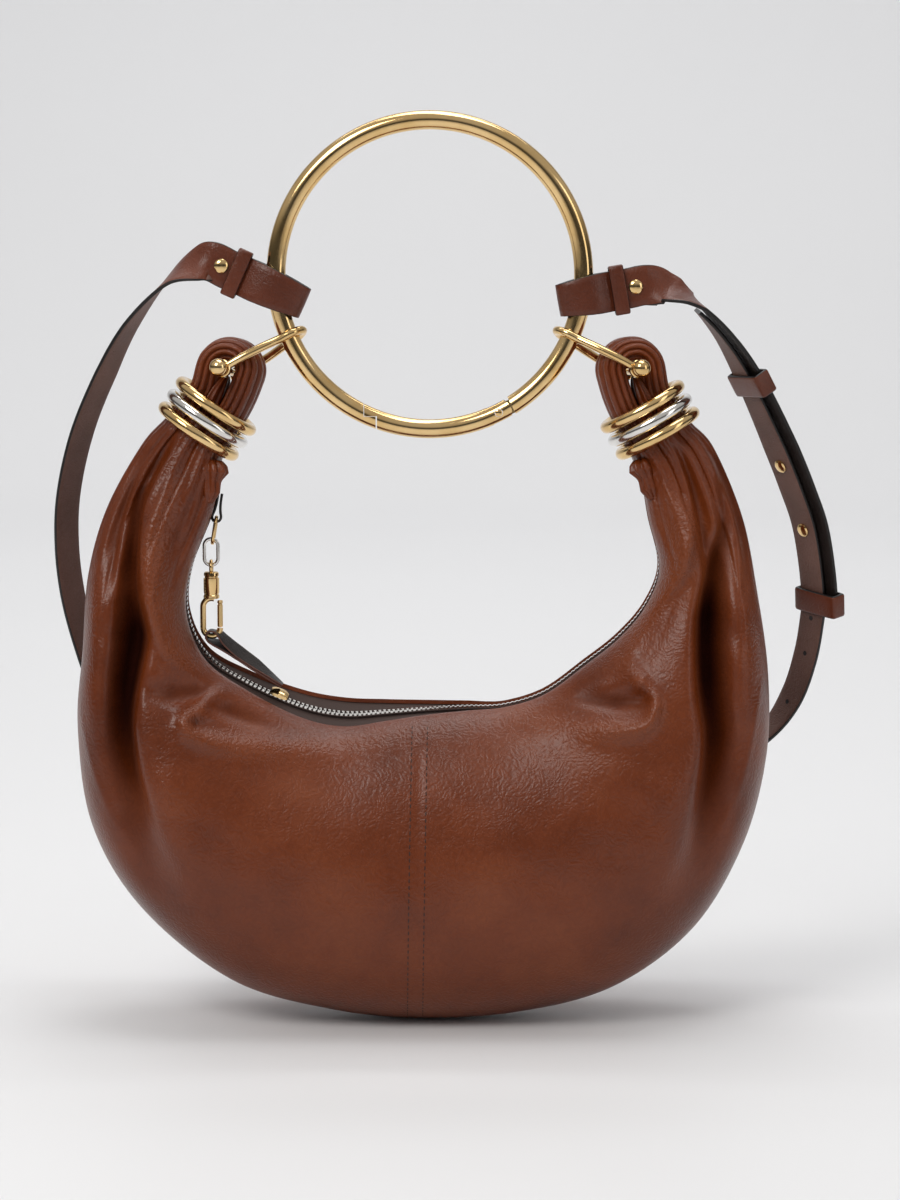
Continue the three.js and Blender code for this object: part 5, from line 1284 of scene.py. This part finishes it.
def chainPieces():
    wire = chain["linkWire"] / 2
    pitch = chain["linkLength"] - 2 * chain["linkWire"] - seatGap
    lean = vec(0.16, 0, 0.987)
    first = vec(bag["centreX"] - 0.600 * bagHalf, 0, 0.786 * bag["height"])
    second = first - lean * pitch
    upper = tubePiece("keyLink_upper", ovalPoints(first, lean, vec(0, 1, 0), chain["linkLength"], chain["linkWidth"],
                                                  wire), wire, finishes["gold"], 16, True)
    lower = tubePiece("keyLink_lower", ovalPoints(second, vec(0, 0, 1), vec(1, 0, 0), chain["linkLength"],
                                                  chain["linkWidth"], wire), wire, finishes["silver"], 16, True)
    for piece, node, slot in ((upper, "chain_link_upper", "polished_gold"), (lower, "chain_link_lower", "polished_silver")):
        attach(piece, "bag")
        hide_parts(node)

    tabTop = first + lean * (chain["linkLength"] / 2 - wire)
    half = wire + 2 * runGap + 0.6
    rows = [(12, 0.95), (7, 1.0), (3, 1.5), (0, half), (-0.75 * half, 0.7 * half), (-half, 0),
            (-0.75 * half, -0.7 * half), (0, -half), (3, -1.5), (7, -1.0), (12, -0.95)]
    stations = [{"place": tabTop + lean * a + vec(s, 0, -0.16 * s), "side": vec(0, 1, 0), "width": 3.0} for a, s in rows]
    tab = stripPiece("chainTab", stations, 1.2, [finishes["darkBack"], finishes["darkBack"], finishes["edgePaint"]], 4, 0.05)
    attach(tab, "bag")
    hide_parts("chain_tab")

    eye = second + vec(0, 0, -chain["linkLength"] / 2 + wire + chain["linkWire"] + seatGap - chain["eye"])
    barrelTop = eye[2] - chain["eye"] + 0.6
    barrelLow = barrelTop - chain["barrelLength"]
    r = chain["barrelRadius"]
    profile = [(barrelLow, 1.2), (barrelLow, r - 0.5), (barrelLow + 0.4, r), (barrelLow + 1.6, r),
               (barrelLow + 2.0, r - 0.35), (barrelLow + 2.6, r - 0.35), (barrelLow + 3.0, r - 0.05),
               (barrelTop - 3.2, r - 0.05), (barrelTop - 2.9, r - 0.6), (barrelTop - 2.2, r - 0.6),
               (barrelTop - 1.9, r - 0.2), (barrelTop - 0.5, r - 0.3), (barrelTop, r - 0.9), (barrelTop, 1.0)]
    barrel = lathePiece("barrel", vec(eye[0], 0, 0), vec(0, 0, 1), profile, finishes["gold"], 36)
    hookCentre = barrelLow + 1.6 - chain["hookLength"] / 2
    hookRadius = chain["hookWire"] / 2
    oval = np.array(ovalPoints(vec(eye[0], 0, hookCentre), vec(0, 0, 1), vec(1, 0, 0), chain["hookLength"],
                               chain["hookWidth"], hookRadius, 96))
    leverTop = barrelLow - runGap
    leverLow = hookCentre - chain["hookLength"] / 2 + chain["hookWidth"] / 2
    onRight = (oval[:, 0] > eye[0] + 1) & (oval[:, 2] < leverTop + 0.1) & (oval[:, 2] > leverLow - 0.1)
    start = int(np.where(onRight)[0].max()) if not onRight[0] else int(np.where(~onRight)[0].min()) - 1
    order = [(start + 1 + i) % len(oval) for i in range(len(oval))]
    kept = [oval[i] for i in order if not onRight[i]]
    wirePart = tubePiece("wire", kept, hookRadius, finishes["gold"], 18)
    eyePart = tubePiece("eye", circlePoints(eye, vec(1, 0, 0), chain["eye"], 48), wire, finishes["gold"], 14, True)
    hook = joinPieces("snapHook", [barrel, wirePart, eyePart])
    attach(hook, "bag")
    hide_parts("hook")
    leverX = eye[0] + (chain["hookWidth"] - chain["hookWire"]) / 2
    lr = hookRadius - 0.1
    profile = [(leverLow + runGap, 0.2), (leverLow + runGap, lr - 0.3), (leverLow + runGap + 0.3, lr),
               (leverTop - 3.0, lr), (leverTop - 2.7, lr - 0.3), (leverTop - 2.2, lr - 0.3), (leverTop - 1.9, lr),
               (leverTop - 0.8, lr), (leverTop - 0.5, lr - 0.3), (leverTop - 0.5, 0.2)]
    lever = lathePiece("snapLever", vec(leverX, 0, 0), vec(0, 0, 1), profile, finishes["gold"], 28)
    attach(lever, "hook_lever")
    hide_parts("hook_lever")

    # The pull loops round the hook's foot and its two layers meet on the way to the slider
    hookBar = hookCentre - chain["hookLength"] / 2 + hookRadius
    low = vec(eye[0], 0, hookBar)
    thick = zipSizes["pullThickness"] / 2 - 0.15
    end = zipPlace(zipSizes["sliderShare"], 0, sliderRise + zipSizes["sliderHeight"]
                   + zipSizes["pullThickness"] / 2 + zipSizes["pullWidth"] / 5)
    away = unit(end - low)
    lift = unit(np.cross(vec(0, 1, 0), away))
    lift = lift if lift[2] > 0 else -lift
    room = hookRadius + 0.75 + thick / 2
    reach = np.linalg.norm(end - low)
    loopRows = [(reach * 0.985, -thick * 0.55), (reach * 0.6, -thick * 0.55 - 0.6), (reach * 0.36, -thick * 0.55 - 0.8),
                (7.0, -2.0), (2.4, -room), (-0.6, -room * 0.98), (-room * 0.86, -room * 0.55), (-room, 0.1),
                (-room * 0.8, room * 0.62), (-0.2, room), (2.6, room * 0.92), (7.0, 1.0),
                (reach * 0.36, thick * 0.55 - 0.8), (reach * 0.6, thick * 0.55 - 0.6), (reach * 0.985, thick * 0.55)]
    stations = []
    for a, n in loopRows:
        share = min(max(a / reach, 0), 1)
        tip = math.radians(38) * math.sin(math.pi * min(share * 1.25, 1)) ** 0.6
        place = low + away * a + lift * (n + 2.6 * math.sin(tip))
        stations.append({"place": place, "side": vec(0, math.cos(tip), 0) + lift * math.sin(tip),
                         "width": zipSizes["pullWidth"] * (1.1 - 0.1 * share)})
    # The pull's near-black faces are partly its black finish and partly painted shade on the face turned away from the
    # light
    pull = stripPiece("zipPull", stations, thick, [finishes["darkBack"], finishes["darkBack"], finishes["facing"]], 8, 0.1)
    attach(pull, "bag")
    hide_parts("zip_pull")


chainPieces()
print("chain and hook made")

# Floor, backdrop, light and camera
studio = {"floorColour": (0.78, 0.785, 0.80), "floorRough": 0.5, "curveAt": 2.8, "bend": 1.0, "wall": 5.0, "half": 6.0, "nearEdge": -5.0,
          "elevation": 6.5, "distance": 1.67, "lens": 100, "aim": (0.010, 0.0, -0.2335)}


def studioSet():
    material, tree, shader = newMaterial("backdropPaper", Roughness=studio["floorRough"])
    place = addNode(tree, "ShaderNodeTexCoord").outputs["Object"]
    cloud = addNode(tree, "ShaderNodeTexNoise", {"Vector": place, "Scale": 1.2})
    base = studio["floorColour"]
    tint = rampNode(tree, cloud.outputs["Fac"], [(0.3, tuple(c * 0.985 for c in base)), (0.7, base)])
    tree.links.new(tint.outputs[0], shader.inputs["Base Color"])
    shader.inputs["Specular IOR Level"].default_value = 0.15
    bend = studio["bend"]
    line = [(studio["nearEdge"], 0.0), (studio["curveAt"], 0.0)]
    line += [(studio["curveAt"] + bend * math.sin(t), bend - bend * math.cos(t)) for t in np.linspace(0.1, math.pi / 2, 16)]
    line.append((studio["curveAt"] + bend, studio["wall"]))
    points = [(x, y, floorHeight - 0.0004 + z) for y, z in line for x in (-studio["half"], studio["half"])]
    faces = [(2 * i, 2 * i + 1, 2 * i + 3, 2 * i + 2) for i in range(len(line) - 1)]
    mesh = bpy.data.meshes.new("backdrop")
    mesh.from_pydata(points, [], faces)
    mesh.materials.append(material)
    mesh.shade_smooth()
    backdrop = bpy.data.objects.new("backdrop", mesh)
    bpy.context.scene.collection.objects.link(backdrop)


def areaLight(name, place, target, size, power, colour=(1, 1, 1)):
    light = bpy.data.lights.new(name, "AREA")
    light.shape = "RECTANGLE"
    light.size, light.size_y = size
    light.energy = power
    light.color = colour
    lamp = bpy.data.objects.new(name, light)
    lamp.location = place
    lamp.rotation_euler = (Vector(target) - Vector(place)).to_track_quat("-Z", "Y").to_euler()
    bpy.context.scene.collection.objects.link(lamp)


def lightsAndWorld():
    middle = (0, 0, -0.22)
    areaLight("keySoftbox", (-0.9, -1.3, 1.1), middle, (0.9, 0.9), 18, (1, 0.98, 0.95))
    areaLight("fillSoftbox", (1.5, -1.0, 0.3), middle, (0.6, 1.2), 3.5, (1, 0.99, 0.98))
    areaLight("topSoftbox", (0.1, 0.1, 1.5), middle, (1.2, 0.8), 12)
    areaLight("backWash", (0, 1.6, 2.6), (0, 3.7, 0.3), (3.6, 1.0), 56)
    world = bpy.data.worlds.new("studioWorld")
    world.use_nodes = True
    tree = world.node_tree
    place = addNode(tree, "ShaderNodeTexCoord").outputs["Generated"]
    height = addNode(tree, "ShaderNodeSeparateXYZ", {"Vector": place}).outputs["Z"]
    lifted = addNode(tree, "ShaderNodeMapRange", {"Value": height, "From Min": -1.0, "From Max": 1.0})
    shade = rampNode(tree, lifted.outputs[0], [(0.0, (0.55, 0.55, 0.56)), (0.42, (0.30, 0.30, 0.31)),
                                               (0.50, (0.10, 0.10, 0.10)), (0.58, (0.16, 0.16, 0.16)),
                                               (0.70, (0.82, 0.80, 0.78)), (1.0, (0.96, 0.94, 0.91))])
    background = tree.nodes["Background"]
    tree.links.new(shade.outputs[0], background.inputs["Color"])
    background.inputs["Strength"].default_value = 0.55
    bpy.context.scene.world = world
    bpy.context.scene.view_settings.view_transform = "Standard"
    bpy.context.scene.view_settings.exposure = 0.0


def placeCamera():
    lens = bpy.data.cameras.new("frontCamera")
    lens.lens = studio["lens"]
    lens.sensor_width = 36
    lens.clip_start = 0.05
    camera = bpy.data.objects.new("frontCamera", lens)
    rise = math.radians(studio["elevation"])
    aim = Vector(studio["aim"])
    camera.location = aim + Vector((0, -math.cos(rise), math.sin(rise))) * studio["distance"]
    camera.rotation_euler = (aim - camera.location).to_track_quat("-Z", "Y").to_euler()
    bpy.context.scene.collection.objects.link(camera)
    bpy.context.scene.camera = camera


studioSet()
lightsAndWorld()
placeCamera()
print("studio made")
